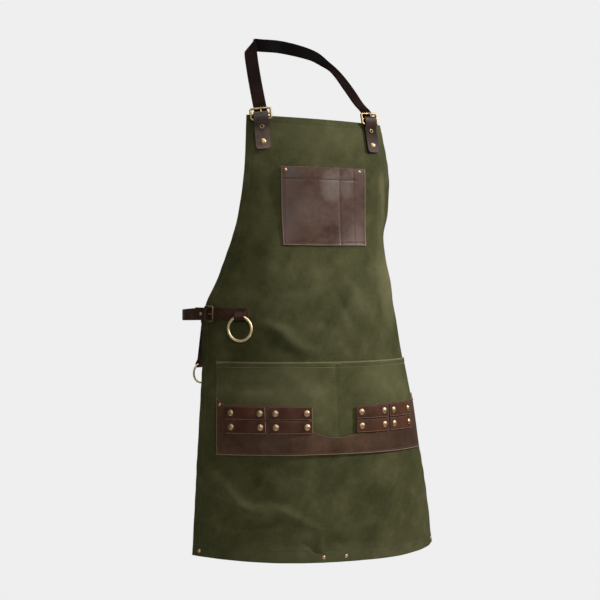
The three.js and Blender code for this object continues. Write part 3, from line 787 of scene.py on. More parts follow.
class Finish(Enum):
    """The finishes of the apron."""

    CANVAS = CanvasFinish(
        "waxed canvas",
        (0.0195, 0.021, 0.0053),
        (0.0525, 0.0492, 0.017),
        (0.092, 0.0855, 0.0405),
        # Painted light: lighter patches on the lit right of the waist, the top of the bib, the lit flank of
        # the bib's fold and of dents in the skirt, and a lighter band along the hem.
        (
            PaintedLight(150, -430, 45, 95, 0.8),
            PaintedLight(10, -165, 95, 40, 0.2),
            PaintedLight(128, -290, 14, 70, 0.55),
            PaintedLight(0, -925, 230, 24, 0.25),
            PaintedLight(-178, -805, 34, 42, 0.22),
            PaintedLight(-120, -838, 44, 14, 0.2),
            PaintedLight(88, -785, 40, 34, 0.15),
        ),
    )
    # Painted light: a lighter copy of the canvas for the lit pocket, with lighter patches across it.
    BAG = CanvasFinish(
        "waxed pocket canvas",
        (0.0235, 0.0252, 0.0065),
        (0.0605, 0.057, 0.0195),
        (0.095, 0.088, 0.042),
        (PaintedLight(-120, -620, 110, 60, 0.35), PaintedLight(-40, -650, 60, 50, 0.2), PaintedLight(110, -620, 90, 50, 0.3)),
    )
    # Worn canvas with a painted edge highlight, for the rims of the lower pocket.
    RUBBED = CanvasFinish("rubbed canvas", (0.075, 0.072, 0.032), (0.15, 0.14, 0.075), (0.22, 0.2, 0.125))
    POCKET = LeatherFinish(
        "brown leather",
        (0.0275, 0.0112, 0.0056),
        (0.063, 0.0302, 0.0176),
        0.44,
        gloss=0.22,
        # Painted sheen: lighter grey-brown spots on the main compartment and the first pen slot.
        rubs=(PaintedLight(14, -258, 26, 34, 0.85), PaintedLight(-20, -300, 44, 44, 0.25), PaintedLight(44, -258, 15, 30, 0.5)),
    )
    BASE = LeatherFinish(
        "dark brown leather",
        (0.03, 0.0135, 0.0068),
        (0.063, 0.033, 0.018),
        0.5,
        gloss=0.12,
        # Painted shade: a darker patch over the right of the base.
        rubs=(PaintedLight(160, -715, 110, 70, 0.6),),
        worn=(0.021, 0.0098, 0.0055),
    )
    LOOP = LeatherFinish(
        "red-brown leather",
        (0.028, 0.0088, 0.0036),
        (0.056, 0.0195, 0.0085),
        0.48,
        gloss=0.12,
    )
    STRAP = LeatherFinish(
        "dark strap leather",
        (0.003, 0.0013, 0.0009),
        (0.0105, 0.0045, 0.0032),
        0.6,
        gloss=0.02,
        # Painted shade: darker towards the nape, where the strap's inner face is in shade.
        oiled=(-95, -45),
    )
    HANGER = LeatherFinish(
        "dark red strap leather",
        (0.019, 0.0092, 0.0052),
        (0.052, 0.0275, 0.0165),
        0.5,
        gloss=0.08,
    )
    TAB = LeatherFinish(
        "tab leather",
        (0.026, 0.0145, 0.009),
        (0.124, 0.081, 0.055),
        0.46,
        gloss=0.2,
        # Painted shade: darker towards the top fold, under the buckle.
        oiled=(-158, -146),
        oil_axis=2,
        oil_share=0.6,
    )
    # Painted shade: a darker copy of the tab leather, for the right tab.
    DARK_TAB = LeatherFinish(
        "dark tab leather",
        (0.0095, 0.0042, 0.0024),
        (0.034, 0.0172, 0.0105),
        0.5,
        gloss=0.1,
    )
    # Painted shade: dark paint in the chest pocket's creases.
    CREASE = RawEdgeFinish("leather crease", (0.004, 0.002, 0.0013), (0.012, 0.0062, 0.0042))
    RAW = RawEdgeFinish("raw leather edge", (0.085, 0.045, 0.027), (0.21, 0.12, 0.072))
    BURNISHED = RawEdgeFinish("burnished edge", (0.008, 0.0042, 0.003), (0.026, 0.014, 0.01))
    BRASS = BrassFinish("antique brass", (0.32, 0.225, 0.105), (0.13, 0.085, 0.036), 0.4)
    SATIN = BrassFinish("satin brass", (0.74, 0.6, 0.35), (0.5, 0.385, 0.2), 0.5)
    AGED = BrassFinish("aged brass", (0.2, 0.14, 0.075), (0.07, 0.048, 0.026), 0.5)
    RIVET = BrassFinish("coppered brass", (0.38, 0.262, 0.155), (0.25, 0.163, 0.09), 0.44)
    CANVAS_THREAD = ThreadFinish("olive thread", (0.022, 0.024, 0.0075), (0.06, 0.058, 0.024))
    MOUTH_THREAD = ThreadFinish("pale olive thread", (0.09, 0.086, 0.045), (0.2, 0.188, 0.11))
    LEATHER_THREAD = ThreadFinish("brown thread", (0.026, 0.0125, 0.0075), (0.066, 0.036, 0.023))
    FLOOR = PaperFinish("pale floor", (0.8, 0.8, 0.8))


class Wardrobe:
    """Materials, each made once."""

    def __init__(self) -> None:
        """Start with none."""
        self.made: dict[Finish, bpy.types.Material] = {}

    def __getitem__(self, finish: Finish) -> bpy.types.Material:
        """The material of a finish."""
        if finish not in self.made:
            self.made[finish] = finish.value.material()
        return self.made[finish]


MATERIALS = Wardrobe()


def settle(piece: bpy.types.Object, body: str, slot: str, *nodes: str) -> bpy.types.Object:
    """Tie a finished piece to its body.

    Args:
        piece: the piece.
        body: the body that it moves with.
        slot: the record's material slot, not used.
        nodes: the plain solids that it stands for.

    Returns:
        The piece.
    """
    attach(piece, body)
    if nodes:
        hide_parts(*nodes)
    LOG.info("%s: %d faces", piece.name, len(piece.data.polygons))
    return piece


class NodeTree:
    """A Geometry Nodes tree that is baked to a plain mesh."""

    def __init__(self, name: str) -> None:
        """Make an empty tree with a geometry in and out.

        Args:
            name: the tree's name.
        """
        self.tree = bpy.data.node_groups.new(name, "GeometryNodeTree")
        self.names: dict[str, str] = {}
        self.tree.interface.new_socket("Geometry", in_out="INPUT", socket_type="NodeSocketGeometry")
        self.tree.interface.new_socket("Geometry", in_out="OUTPUT", socket_type="NodeSocketGeometry")
        self.start = self.tree.nodes.new("NodeGroupInput")
        self.end = self.tree.nodes.new("NodeGroupOutput")

    def size(self, name: str, kind: str) -> bpy.types.NodeSocket:
        """Add a named input.

        Args:
            name: the input's name.
            kind: its socket type.

        Returns:
            The socket inside the tree.
        """
        made = self.tree.interface.new_socket(name, in_out="INPUT", socket_type=kind)
        self.names[name] = made.identifier
        return self.start.outputs[name]

    def node(
        self, kind: str, settings: dict[str, object] | None = None, sockets: dict[str, object] | None = None
    ) -> bpy.types.Node:
        """Add a node.

        Args:
            kind: the node's type.
            settings: its settings.
            sockets: values of its inputs, or sockets to link to them.

        Returns:
            The node.
        """
        made = self.tree.nodes.new(kind)
        for key, value in (settings or {}).items():
            setattr(made, key, value)
        for key, value in (sockets or {}).items():
            if isinstance(value, bpy.types.NodeSocket):
                self.tree.links.new(value, made.inputs[key])
            else:
                made.inputs[key].default_value = value
        return made

    def close(self, instances: bpy.types.NodeSocket, material: bpy.types.NodeSocket) -> None:
        """End the tree: make the copies real and give them their material."""
        real = self.node("GeometryNodeRealizeInstances", {}, {"Geometry": instances})
        sockets = {"Geometry": real.outputs[0], "Material": material}
        dressed = self.node("GeometryNodeSetMaterial", {}, sockets)
        self.tree.links.new(dressed.outputs[0], self.end.inputs[0])

    def bake(self, carrier: bpy.types.Object, name: str, sharp: float, **sizes: object) -> bpy.types.Object:
        """Run the tree on an object and keep the result as a plain mesh.

        Args:
            carrier: the object that carries the modifier; it is deleted.
            name: name of the result.
            sharp: angle in degrees over which an edge stays sharp.
            sizes: values of the named inputs.

        Returns:
            The result.
        """
        modifier = carrier.modifiers.new("Nodes", "NODES")
        modifier.node_group = self.tree
        for key, value in sizes.items():
            modifier[self.names[key.replace("_", " ")]] = value
        graph = bpy.context.evaluated_depsgraph_get()
        mesh = bpy.data.meshes.new_from_object(carrier.evaluated_get(graph))
        mesh.name = name
        bpy.data.objects.remove(carrier)
        return show(name, mesh, sharp)


def placed(node: str) -> Array:
    """Points of a plain solid, in millimetres."""
    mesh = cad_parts[node].data
    points = np.empty(len(mesh.vertices) * 3, np.float32)
    mesh.vertices.foreach_get("co", points)
    return points.reshape(-1, 3).astype(float) / MM


@dataclass(frozen=True)
class Seat:
    """A place and its axes: along, up and out, with the extents there, in millimetres."""

    point: Array
    along: Array
    up: Array
    out: Array
    extent: Array

    def at(self, x: Array | float, y: Array | float, z: Array | float) -> Array:
        """Points at local coordinates."""
        x, y, z = np.broadcast_arrays(*(np.asarray(each, float) for each in (x, y, z)))
        return self.point + x[..., None] * self.along + y[..., None] * self.up + z[..., None] * self.out


def seat_of(node: str, upright: Sequence[float] = UP) -> Seat:
    """Axes of a flat solid, from its own points: out is its thin way, to the front.

    Args:
        node: the solid.
        upright: the direction that up comes nearest to.

    Returns:
        The seat at the middle of the solid.
    """
    points = placed(node)
    axes = np.linalg.svd(points - points.mean(0), full_matrices=False)[2]
    out = axes[2] * np.sign(axes[2] @ np.asarray(FRONT))
    flat = sorted(axes[:2], key=lambda axis: -abs(axis @ np.asarray(upright, float)))
    up = flat[0] * np.sign(flat[0] @ np.asarray(upright, float))
    basis = np.stack([np.cross(up, out), up, out])
    local = points @ basis.T
    low, high = local.min(0), local.max(0)
    return Seat((low + high) / 2 @ basis, *basis, high - low)


def base_seat(node: str) -> Seat:
    """The middle of a rivet's flat underside, its axis as out, and its radius and height.

    Args:
        node: the rivet's solid.

    Returns:
        The seat.
    """
    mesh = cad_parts[node].data

    def area_beside(face: bpy.types.MeshPolygon) -> float:
        """Area of all the faces that point the same way as a face."""
        return sum(each.area for each in mesh.polygons if each.normal.dot(face.normal) > SAME_WAY)

    flat = max(mesh.polygons, key=area_beside)
    out = -np.array(flat.normal)
    points = placed(node)
    height = points @ out
    base = points[height < height.min() + UNDERSIDE]
    along = np.cross(out, UP)
    along /= np.linalg.norm(along)
    middle = (base.min(0) + base.max(0)) / 2
    radius = np.linalg.norm(base - middle, axis=1).max()
    return Seat(middle, along, np.cross(out, along), out, np.array([radius, radius, np.ptp(height)]))


def spread(stops: Sequence[float], step: float) -> Array:
    """Places between stops, no further apart than a step, with each stop among them."""
    parts = [np.linspace(a, b, max(1, math.ceil((b - a) / step)) + 1)[:-1] for a, b in zip(stops, stops[1:])]
    return np.concatenate([*parts, [stops[-1]]])


def beside(line: float) -> list[float]:
    """A sewn line and the places close to it on both sides."""
    return [line - SEAM_REACH, line, line + SEAM_REACH]


def rim_cells(s: Array, left: bool, right: bool, low: bool, high: bool) -> Array:
    """Material slots of a grid's cells: 1 for the outermost cells on the named sides, and 0 for the rest.

    Args:
        s: the grid's places.
        left: whether the left column counts.
        right: whether the right column counts.
        low: whether the bottom row counts.
        high: whether the top row counts.

    Returns:
        The slots, by cell.
    """
    cells = np.zeros((s.shape[0] - 1, s.shape[1] - 1), int)
    cells[:, 0] |= left
    cells[:, -1] |= right
    cells[0] |= low
    cells[-1] |= high
    return cells


@dataclass(frozen=True)
class Groove:
    """The fall of a surface at a stitched or creased line, in millimetres."""

    depth: float
    width: float

    def fall(self, distance: Array) -> Array:
        """Lift of the surface at distances from the line."""
        return -self.depth * np.exp(-((distance / self.width) ** 2))


@dataclass(frozen=True)
class Ripple:
    """Uneven waves along a sewn edge, fading away from it, in millimetres."""

    height: float
    wave: float
    drift: float
    sway: float
    reach: float

    def lift(self, place: Array, far: Array) -> Array:
        """Lift of the cloth at places along the edge, by their distance from it."""
        wave = np.sin(place / self.wave + self.sway * np.sin(place / self.drift))
        return self.height * wave * np.exp(-far / self.reach)


@dataclass(frozen=True)
class CanvasPanel:
    """The canvas itself, with its folded hems, in millimetres."""

    top: float = -135
    hem: float = -939
    hem_rise: float = 15
    hem_half: float = 265
    mean_half: float = 230
    wall: float = 1.4
    side_hem: float = 13
    low_hem: float = 20
    top_hem: float = 12
    hem_wall: float = 0.6
    crease: Groove = Groove(0.4, 1.3)
    soft: float = 0.35
    side_ripple: Ripple = Ripple(0.35, 6.1, 31, 2, 9)
    low_ripple: Ripple = Ripple(0.35, 6.7, 43, 2, 12)
    step: float = 4.4
    side_steps: tuple[float, ...] = (0, 0.8, 2.5, 5, 7.5, 9.5, 11, 12, 13, 14, 15, 17, 20, 24)
    low_steps: tuple[float, ...] = (0, 0.8, 3, 6, 9, 12, 15, 17.5, 19, 20, 21, 22.5, 25, 28)
    top_steps: tuple[float, ...] = (0, 0.8, 3, 6, 9, 10.8, 12, 13.2, 15, 18)

    def edge(self, side: Array) -> Array:
        """Height of the hem across the cloth, from -1 to 1."""
        return self.hem + self.hem_rise * side * side

    def layout(self) -> tuple[Array, Array]:
        """Places of the grid, closer together at the hems.

        Returns:
            s and z, by row from the hem and by column from the left.
        """
        rim, low, high = (np.array(each, float) for each in (self.side_steps, self.low_steps, self.top_steps))
        middle = np.linspace(-1, 1, round(2 * self.mean_half / self.step))[1:-1]
        free = self.top - self.hem - low[-1] - high[-1]
        body = np.linspace(0, 1, round(free / self.step))[1:-1]
        columns = [(-1.0, d) for d in rim] + [(m, rim[-1]) for m in middle] + [(1.0, d) for d in rim[::-1]]
        s, z = [], []
        for side, inset in columns:
            bottom = self.edge(np.asarray(side * (1 - inset / self.hem_half)))
            start, end = bottom + low[-1], self.top - high[-1]
            heights = np.concatenate([bottom + low, start + (end - start) * body, self.top - high[::-1]])
            s.append(side * (DRAPE.half(heights) - inset))
            z.append(heights)
        return np.stack(s, 1), np.stack(z, 1)

    def hems(self, s: Array, z: Array) -> list[tuple[Array, float]]:
        """Distance to each edge, with the width of the hem there."""
        half = DRAPE.half(z)
        above, below = z - self.edge(s / half), self.top - z
        return [(half - np.abs(s), self.side_hem), (above, self.low_hem), (below, self.top_hem)]

    def face(self, s: Array, z: Array) -> Array:
        """Lift of the outer face: creased along the hems and puckered beside them."""
        hems = self.hems(s, z)
        crease = sum(self.crease.fall(far - hem) for far, hem in hems)
        return crease + self.side_ripple.lift(z, hems[0][0]) + self.low_ripple.lift(s, hems[1][0])

    def build(self) -> bpy.types.Object:
        """Make the canvas."""
        s, z = self.layout()
        thick = np.max([1 - smooth_step(far, hem - 1, hem + 1) for far, hem in self.hems(s, z)], 0)
        outer = self.face(s, z)
        shape = Shape()
        wall(shape, s, z, outer - self.wall - self.hem_wall * thick, outer)
        piece = shape.build("canvas_panel", [MATERIALS[Finish.CANVAS]])
        soften(piece, self.soft)
        settle(piece, APRON_BODY, "canvas", "canvas_body")
        return piece


@dataclass(frozen=True)
class Patch:
    """A patch sewn on the canvas, with compartments that gape at the top, in millimetres."""

    bottom: float
    top: float
    parts: tuple[PocketPart, ...]
    gap: float = 0.7
    rise_power: float = 0.8
    belly_power: float = 0.7

    def lift(self, s: Array, z: Array) -> Array:
        """How far the patch stands off the canvas."""
        rise = np.clip((z - self.bottom) / (self.top - self.bottom), 0, 1) ** self.rise_power
        lift = np.zeros(np.broadcast(s, z).shape)
        for part in self.parts:
            across = np.clip((s - part.start) / (part.end - part.start), 0, 1)
            lift = lift + part.gape * np.sin(math.pi * across) ** self.belly_power * rise
        return self.gap + lift

    @property
    def left(self) -> float:
        """Left edge."""
        return self.parts[0].start

    @property
    def right(self) -> float:
        """Right edge."""
        return self.parts[-1].end


CHEST = Patch(-366, -224, (PocketPart(-80, 31, 2.6), PocketPart(31, 60, 0.5), PocketPart(60, 86, 0.4)))
LOWER = Patch(-742, -576, (PocketPart(-223, 0, 3.5), PocketPart(0, 223, 2)))


@dataclass(frozen=True)
class ChestPocket:
    """Leather pocket on the bib, with a turned top band and two pen slots, in millimetres."""

    wall: float = 2.0
    band: float = 22
    band_end: float = 66
    crease_middle: float = 70
    crease_half: float = 62
    margin: float = 4.5
    rim: float = 1.3
    crease: float = 0.8
    crease_reach: float = 2
    band_groove: Groove = Groove(0.45, 1.1)
    slot_groove: Groove = Groove(0.8, 1.2)
    pen_groove: Groove = Groove(0.35, 1.2)
    pen_fade: tuple[float, float] = (2, 8)
    seam: Groove = Groove(0.3, 0.9)
    soft: float = 0.45
    step: float = 2.4
    seat: float = 0.45

    def face(self, s: Array, z: Array) -> Array:
        """Lift of the outer face, with its creases."""
        down, reach = CHEST.top - z, self.crease_reach
        band = self.band_groove.fall(down - self.band)
        band = band * (1 - smooth_step(s, self.band_end - reach, self.band_end + reach))
        first, second = (part.end for part in CHEST.parts[:-1])
        slot = self.slot_groove.fall(s - first) * smooth_step(down, self.band - reach, self.band + reach)
        pen = self.pen_groove.fall(s - second) * smooth_step(down, *self.pen_fade)
        outline = [s - CHEST.left, CHEST.right - s, z - CHEST.bottom]
        seams = np.min([self.seam.fall(far - self.margin) for far in outline], 0)
        return CHEST.lift(s, z) + self.wall + band + slot + pen + seams

    def creased(self, s: Array, z: Array) -> Array:
        """The cells painted dark as shade in the crease of the band and along the first slot."""
        s, z = (s[:-1, :-1] + s[1:, 1:]) / 2, (z[:-1, :-1] + z[1:, 1:]) / 2
        down, inside = CHEST.top - z, z > CHEST.bottom + self.rim
        slot = (np.abs(s - CHEST.parts[0].end) < self.crease) & (down > self.band) & inside
        band = np.abs(down - self.band) < self.crease
        return slot | (band & (np.abs(s - CHEST.left - self.crease_middle) < self.crease_half))

    def creases(self, line: float) -> list[float]:
        """Places of the grid at a crease: the edges of its painted shade, and the ends of its fall."""
        return [line - self.crease_reach, line - self.crease, line + self.crease, line + self.crease_reach]

    def build(self) -> bpy.types.Object:
        """Make the pocket."""
        left, right, bottom = CHEST.left, CHEST.right, CHEST.bottom
        stops = [left, left + self.rim, *beside(left + self.margin)]
        for part in CHEST.parts[:-1]:
            stops += self.creases(part.end)
        stops += [*beside(right - self.margin), right - self.rim, right]
        levels = [bottom, bottom + self.rim, *beside(bottom + self.margin)]
        levels += [*self.creases(CHEST.top - self.band), CHEST.top]
        s, z = np.meshgrid(spread(stops, self.step), spread(levels, self.step))
        outer = self.face(s, z)
        shape = Shape()
        cells = rim_cells(s, True, True, True, False)
        # Painted shade: the cells along the band's crease and the first slot's line take the dark finish.
        cells[self.creased(s, z)] = 2
        wall(shape, s, z, np.maximum(outer - self.wall, self.seat), outer, 1, cells)
        finishes = (Finish.POCKET, Finish.RAW, Finish.CREASE)
        piece = shape.build("chest_pocket_leather", [MATERIALS[finish] for finish in finishes])
        soften(piece, self.soft)
        return settle(piece, APRON_BODY, "leather", "chest_pocket")


@dataclass(frozen=True)
class LowerPocket:
    """Wide canvas pocket on the skirt, with a stitched mouth and a middle seam, in millimetres."""

    wall: float = 1.4
    mouth: float = 10
    mouth_wall: float = 0.6
    mouth_ripple: Ripple = Ripple(0.3, 7.3, 37, 1.7, 14)
    mouth_groove: Groove = Groove(0.45, 1.2)
    middle_groove: Groove = Groove(0.5, 1.6)
    middle_reach: float = 2
    seam: Groove = Groove(0.3, 1.0)
    soft: float = 0.4
    margin: float = 4
    rim: float = 1.2
    step: float = 3.4
    seat: float = 0.4

    def face(self, s: Array, z: Array) -> Array:
        """Lift of the outer face, with its seams."""
        down = LOWER.top - z
        seams = self.mouth_groove.fall(down - self.mouth) + self.middle_groove.fall(s)
        sides = [s - LOWER.left, LOWER.right - s]
        seams = seams + np.min([self.seam.fall(far - self.margin) for far in sides], 0)
        hem = self.mouth_wall * (1 - smooth_step(down, self.mouth - 1, self.mouth + 1))
        return LOWER.lift(s, z) + self.wall + seams + hem + self.mouth_ripple.lift(s, down)

    def build(self) -> bpy.types.Object:
        """Make the pocket."""
        left, margin = LOWER.left, self.margin
        side = np.array([left, left + self.rim, *beside(left + margin), -self.middle_reach])
        line = LOWER.top - self.mouth
        levels = [LOWER.bottom, line - 3, line - 1, line, line + 1, LOWER.top - self.rim, LOWER.top]
        s, z = np.meshgrid(spread([*side, 0, *-side[::-1]], self.step), spread(levels, self.step))
        outer = self.face(s, z)
        shape = Shape()
        # The left, right and top rims take the paler worn finish, with a painted edge highlight.
        cells = rim_cells(s, True, True, False, True)
        wall(shape, s, z, np.maximum(outer - self.wall, self.seat), outer, 1, cells)
        piece = shape.build("lower_pocket_canvas", [MATERIALS[Finish.BAG], MATERIALS[Finish.RUBBED]])
        soften(piece, self.soft)
        settle(piece, APRON_BODY, "canvas", "lower_pocket")
        return piece


@dataclass(frozen=True)
class PocketBase:
    """Leather base sewn over the lower pocket, low in the middle, in millimetres."""

    wall: float = 2.0
    inset: float = 0.6
    low: float = 30
    dip: float = 12
    dip_half: float = 48
    rise: float = 46
    rise_to: float = 82
    corner: float = 12
    corner_from: float = 207
    seat: float = 1.7
    margin: float = 4
    seam: Groove = Groove(0.3, 0.9)
    soft: float = 0.45
    rim: float = 1.3
    step: float = 2.8
    rows: int = 22

    def height(self, s: Array) -> Array:
        """Height of its top edge over the pocket's bottom."""
        far = np.abs(s)
        dip = self.dip * np.minimum(1, far / self.dip_half) ** 2
        corner = self.corner * np.maximum(0, (far - self.corner_from) / (LOWER.right - self.corner_from))
        return self.low + dip + self.rise * smooth_step(far, self.dip_half, self.rise_to) + corner

    def face(self, s: Array, z: Array) -> Array:
        """Lift of its outer face."""
        sides = [s - LOWER.left, LOWER.right - s]
        ends = [z - LOWER.bottom - self.inset, LOWER.bottom + self.height(s) - z]
        seams = np.min([self.seam.fall(far - self.margin) for far in sides + ends], 0)
        return LOWER.lift(s, z) + self.seat + self.wall + seams

    def build(self) -> bpy.types.Object:
        """Make the base."""
        edge = np.array([0, self.rim, *beside(self.margin)])
        side = np.array([*(LOWER.left + edge), -self.corner_from])
        columns = spread([*side, *-side[::-1]], self.step)
        top = self.height(columns) - self.inset
        middle = np.linspace(0, 1, self.rows)[1:-1]
        low = LOWER.bottom + self.inset
        rows = [low + d + 0 * top for d in edge]
        rows += [low + edge[-1] + (top - 2 * edge[-1]) * t for t in middle]
        rows += [low + top - d for d in edge[::-1]]
        z = np.stack(rows)
        s = np.broadcast_to(columns, z.shape)
        outer = self.face(s, z)
        shape = Shape()
        wall(shape, s, z, LOWER.lift(s, z) + self.seat, outer, 1, rim_cells(s, True, True, True, False))
        piece = shape.build("pocket_base_leather", [MATERIALS[Finish.BASE], MATERIALS[Finish.RAW]])
        soften(piece, self.soft)
        return settle(piece, APRON_BODY, "leather", "pocket_leather")


BASE = PocketBase()


@dataclass(frozen=True)
class LoopSpan:
    """The ends of a pair of tool loops along the cloth, in millimetres."""

    name: str
    start: float
    end: float


@dataclass(frozen=True)
class LoopRow:
    """The height of a row of tool loops over the pocket's bottom, in millimetres."""

    name: str
    low: float
    high: float


@dataclass(frozen=True)
class ToolLoops:
    """Leather loops riveted on the base, each standing off between its rivets, in millimetres."""

    spans: tuple[LoopSpan, ...] = (
        LoopSpan("left_outer", -204, -132),
        LoopSpan("left_inner", -125, -50),
        LoopSpan("right_inner", 35, 106),
        LoopSpan("right_outer", 111, 180),
    )
    rows: tuple[LoopRow, ...] = (LoopRow("upper", 63.2, 85.6), LoopRow("lower", 38.6, 61))
    wall: float = 2.0
    stand_off: float = 1.2
    held: float = 17
    seat: float = 0.7
    rim: float = 0.8
    crown: float = 0.35
    arch_power: float = 1.15
    soft: float = 0.4
    step: float = 1.6
    row_step: float = 2.0

    def seat_lift(self, s: Array, z: Array) -> Array:
        """Lift of the underside where it is held."""
        return LOWER.lift(s, z) + BASE.seat + BASE.wall + self.seat

    def lift(self, span: LoopSpan, s: Array, z: Array) -> Array:
        """Lift of the underside of one loop."""
        start, end = span.start + self.held, span.end - self.held
        arch = np.sin(math.pi * np.clip((s - start) / (end - start), 0, 1))
        return self.seat_lift(s, z) + self.stand_off * arch**self.arch_power

    def build(self) -> list[bpy.types.Object]:
        """Make the loops."""
        pieces = []
        for span in self.spans:
            start, end = span.start, span.end
            ends = [start, start + 1.5, start + 3, end - 3, end - 1.5, end - self.rim, end]
            for row in self.rows:
                levels = [row.low, row.low + self.rim, row.high - self.rim, row.high]
                s, z = np.meshgrid(spread(ends, self.step), LOWER.bottom + spread(levels, self.row_step))
                under = self.lift(span, s, z)
                across = (z - LOWER.bottom - (row.low + row.high) / 2) / ((row.high - row.low) / 2)
                outer = under + self.wall + self.crown * (1 - across**4)
                shape = Shape()
                # The right and bottom rims take the pale raw-edge finish: a raw edge and a painted edge
                # highlight.
                wall(shape, s, z, under, outer, 1, rim_cells(s, False, True, True, False))
                name = f"tool_loop_{span.name}_{row.name}"
                piece = shape.build(name, [MATERIALS[Finish.LOOP], MATERIALS[Finish.RAW]])
                soften(piece, self.soft)
                pieces.append(settle(piece, APRON_BODY, "leather", f"strip_{span.name}_{row.name}"))
        return pieces


TOOL_LOOPS = ToolLoops()


def outward(mesh: bpy.types.Mesh) -> None:
    """Turn every face of closed shells outwards."""
    work = bmesh.new()
    work.from_mesh(mesh)
    bmesh.ops.recalc_face_normals(work, faces=work.faces)
    work.to_mesh(mesh)
    work.free()


def tube(rings: int, sides: int, closed: bool = False) -> list[tuple[int, ...]]:
    """Faces between neighbouring rings of points.

    Args:
        rings: number of rings.
        sides: points in each.
        closed: whether the last ring joins the first.

    Returns:
        The faces, by index.
    """
    faces = []
    for i in range(rings if closed else rings - 1):
        low, high = i * sides, (i + 1) % rings * sides
        faces += [(low + k, low + (k + 1) % sides, high + (k + 1) % sides, high + k) for k in range(sides)]
    return faces


def capped(rings: int, sides: int) -> list[tuple[int, ...]]:
    """Faces between rings of points, with both ends closed."""
    first, last = range(sides), range((rings - 1) * sides, rings * sides)
    return [*tube(rings, sides), tuple(first)[::-1], tuple(last)]


def rod(radius: float, low: float, high: float) -> list[tuple[float, float]]:
    """Profile of a plain rod between two heights."""
    return [(0, low), (radius, low), (radius, high), (0, high)]


def wire_loop(shape: Shape, path: Array, out: Array, across: float, thick: float, sides: int) -> None:
    """Add a closed bar of round section along a flat closed path.

    Args:
        shape: the mesh being put together.
        path: points of the path, in order.
        out: direction across the path's plane.
        across: half width of the bar in the plane.
        thick: half width of the bar along out.
        sides: faces round the bar.
    """
    tangent = np.roll(path, -1, 0) - np.roll(path, 1, 0)
    tangent /= np.linalg.norm(tangent, axis=1, keepdims=True)
    side = np.cross(tangent, out)
    turn = np.arange(sides) * 2 * math.pi / sides
    flat, deep = (across * np.cos(turn))[None, :, None], (thick * np.sin(turn))[None, :, None]
    shape.add(path[:, None] + side[:, None] * flat + deep * out, tube(len(path), sides, True))


def lathe(
    shape: Shape, seat: Seat, profile: Sequence[tuple[float, float]], segments: int, ring: bool = False
) -> None:
    """Add a turned form on a seat's axis.

    Args:
        shape: the mesh being put together.
        seat: the axis, along out.
        profile: radii and heights, in order; without ring, the first and last lie on the axis.
        segments: faces round the axis.
        ring: whether the profile is closed on itself.
    """
    turn = np.arange(segments) * 2 * math.pi / segments
    body = profile if ring else profile[1:-1]
    points = [seat.at(r * np.cos(turn), r * np.sin(turn), h) for r, h in body]
    faces = tube(len(body), segments, ring)
    if not ring:
        first, last = len(body) * segments, (len(body) - 1) * segments
        faces += [(first, (k + 1) % segments, k) for k in range(segments)]
        faces += [(first + 1, last + k, last + (k + 1) % segments) for k in range(segments)]
        points.append(np.stack([seat.at(0, 0, profile[0][1]), seat.at(0, 0, profile[-1][1])]))
    shape.add(np.concatenate(points), faces)


@dataclass(frozen=True)
class Buckle:
    """A wire buckle with its prong, in millimetres."""

    frame_node: str
    prong_node: str
    wire: float
    corner: float
    tip: tuple[float, float, float]
    bar: float = 0.0
    finish: Finish = Finish.BRASS
    sides: int = 14
    corner_points: int = 9
    prong_rings: int = 9
    prong_sides: int = 10
    prong_taper: float = 0.35
    prong_arch: float = 0.5

    def frame_path(self, seat: Seat) -> Array:
        """Middle line of the frame, a rounded rectangle."""
        half = (seat.extent[:2] - self.wire) / 2
        turn = np.linspace(0, math.pi / 2, self.corner_points)
        corners = []
        for k, (x, y) in enumerate([(1, 1), (-1, 1), (-1, -1), (1, -1)]):
            angle = turn + k * math.pi / 2
            corners.append(
                seat.at(
                    x * (half[0] - self.corner) + self.corner * np.cos(angle),
                    y * (half[1] - self.corner) + self.corner * np.sin(angle),
                    0.0,
                )
            )
        return np.concatenate(corners)

    def prong(self, shape: Shape) -> None:
        """Add the prong: a tapered pin, a little arched."""
        seat = seat_of(self.prong_node, self.tip)
        length, width, thick = seat.extent[1], seat.extent[0], seat.extent[2]
        turn = np.arange(self.prong_sides) * 2 * math.pi / self.prong_sides
        rings = []
        for t in np.linspace(0, 1, self.prong_rings):
            size = (1 - self.prong_taper * t) * math.sqrt(max(0.12, 1 - (2 * abs(t - 0.5)) ** 8))
            x, z = width / 2 * size * np.cos(turn), thick / 2 * size * np.sin(turn)
            rings.append(seat.at(x, (t - 0.5) * length, z + self.prong_arch * math.sin(math.pi * t)))
        shape.add(np.concatenate(rings), capped(self.prong_rings, self.prong_sides))

    def build(self, name: str) -> bpy.types.Object:
        """Make the buckle.

        Args:
            name: the piece's name.

        Returns:
            The piece.
        """
        seat = seat_of(self.frame_node)
        shape = Shape()
        wire_loop(shape, self.frame_path(seat), seat.out, self.wire / 2, self.wire / 2, self.sides)
        if self.bar:
            reach = (seat.extent[0] - self.wire) / 2
            across = Seat(seat.point, seat.up, seat.out, seat.along, seat.extent)
            lathe(shape, across, rod(self.bar, -reach, reach), self.sides)
        self.prong(shape)
        piece = shape.build(name, [MATERIALS[self.finish]])
        outward(piece.data)
        return settle(piece, APRON_BODY, "brass", self.frame_node, self.prong_node)


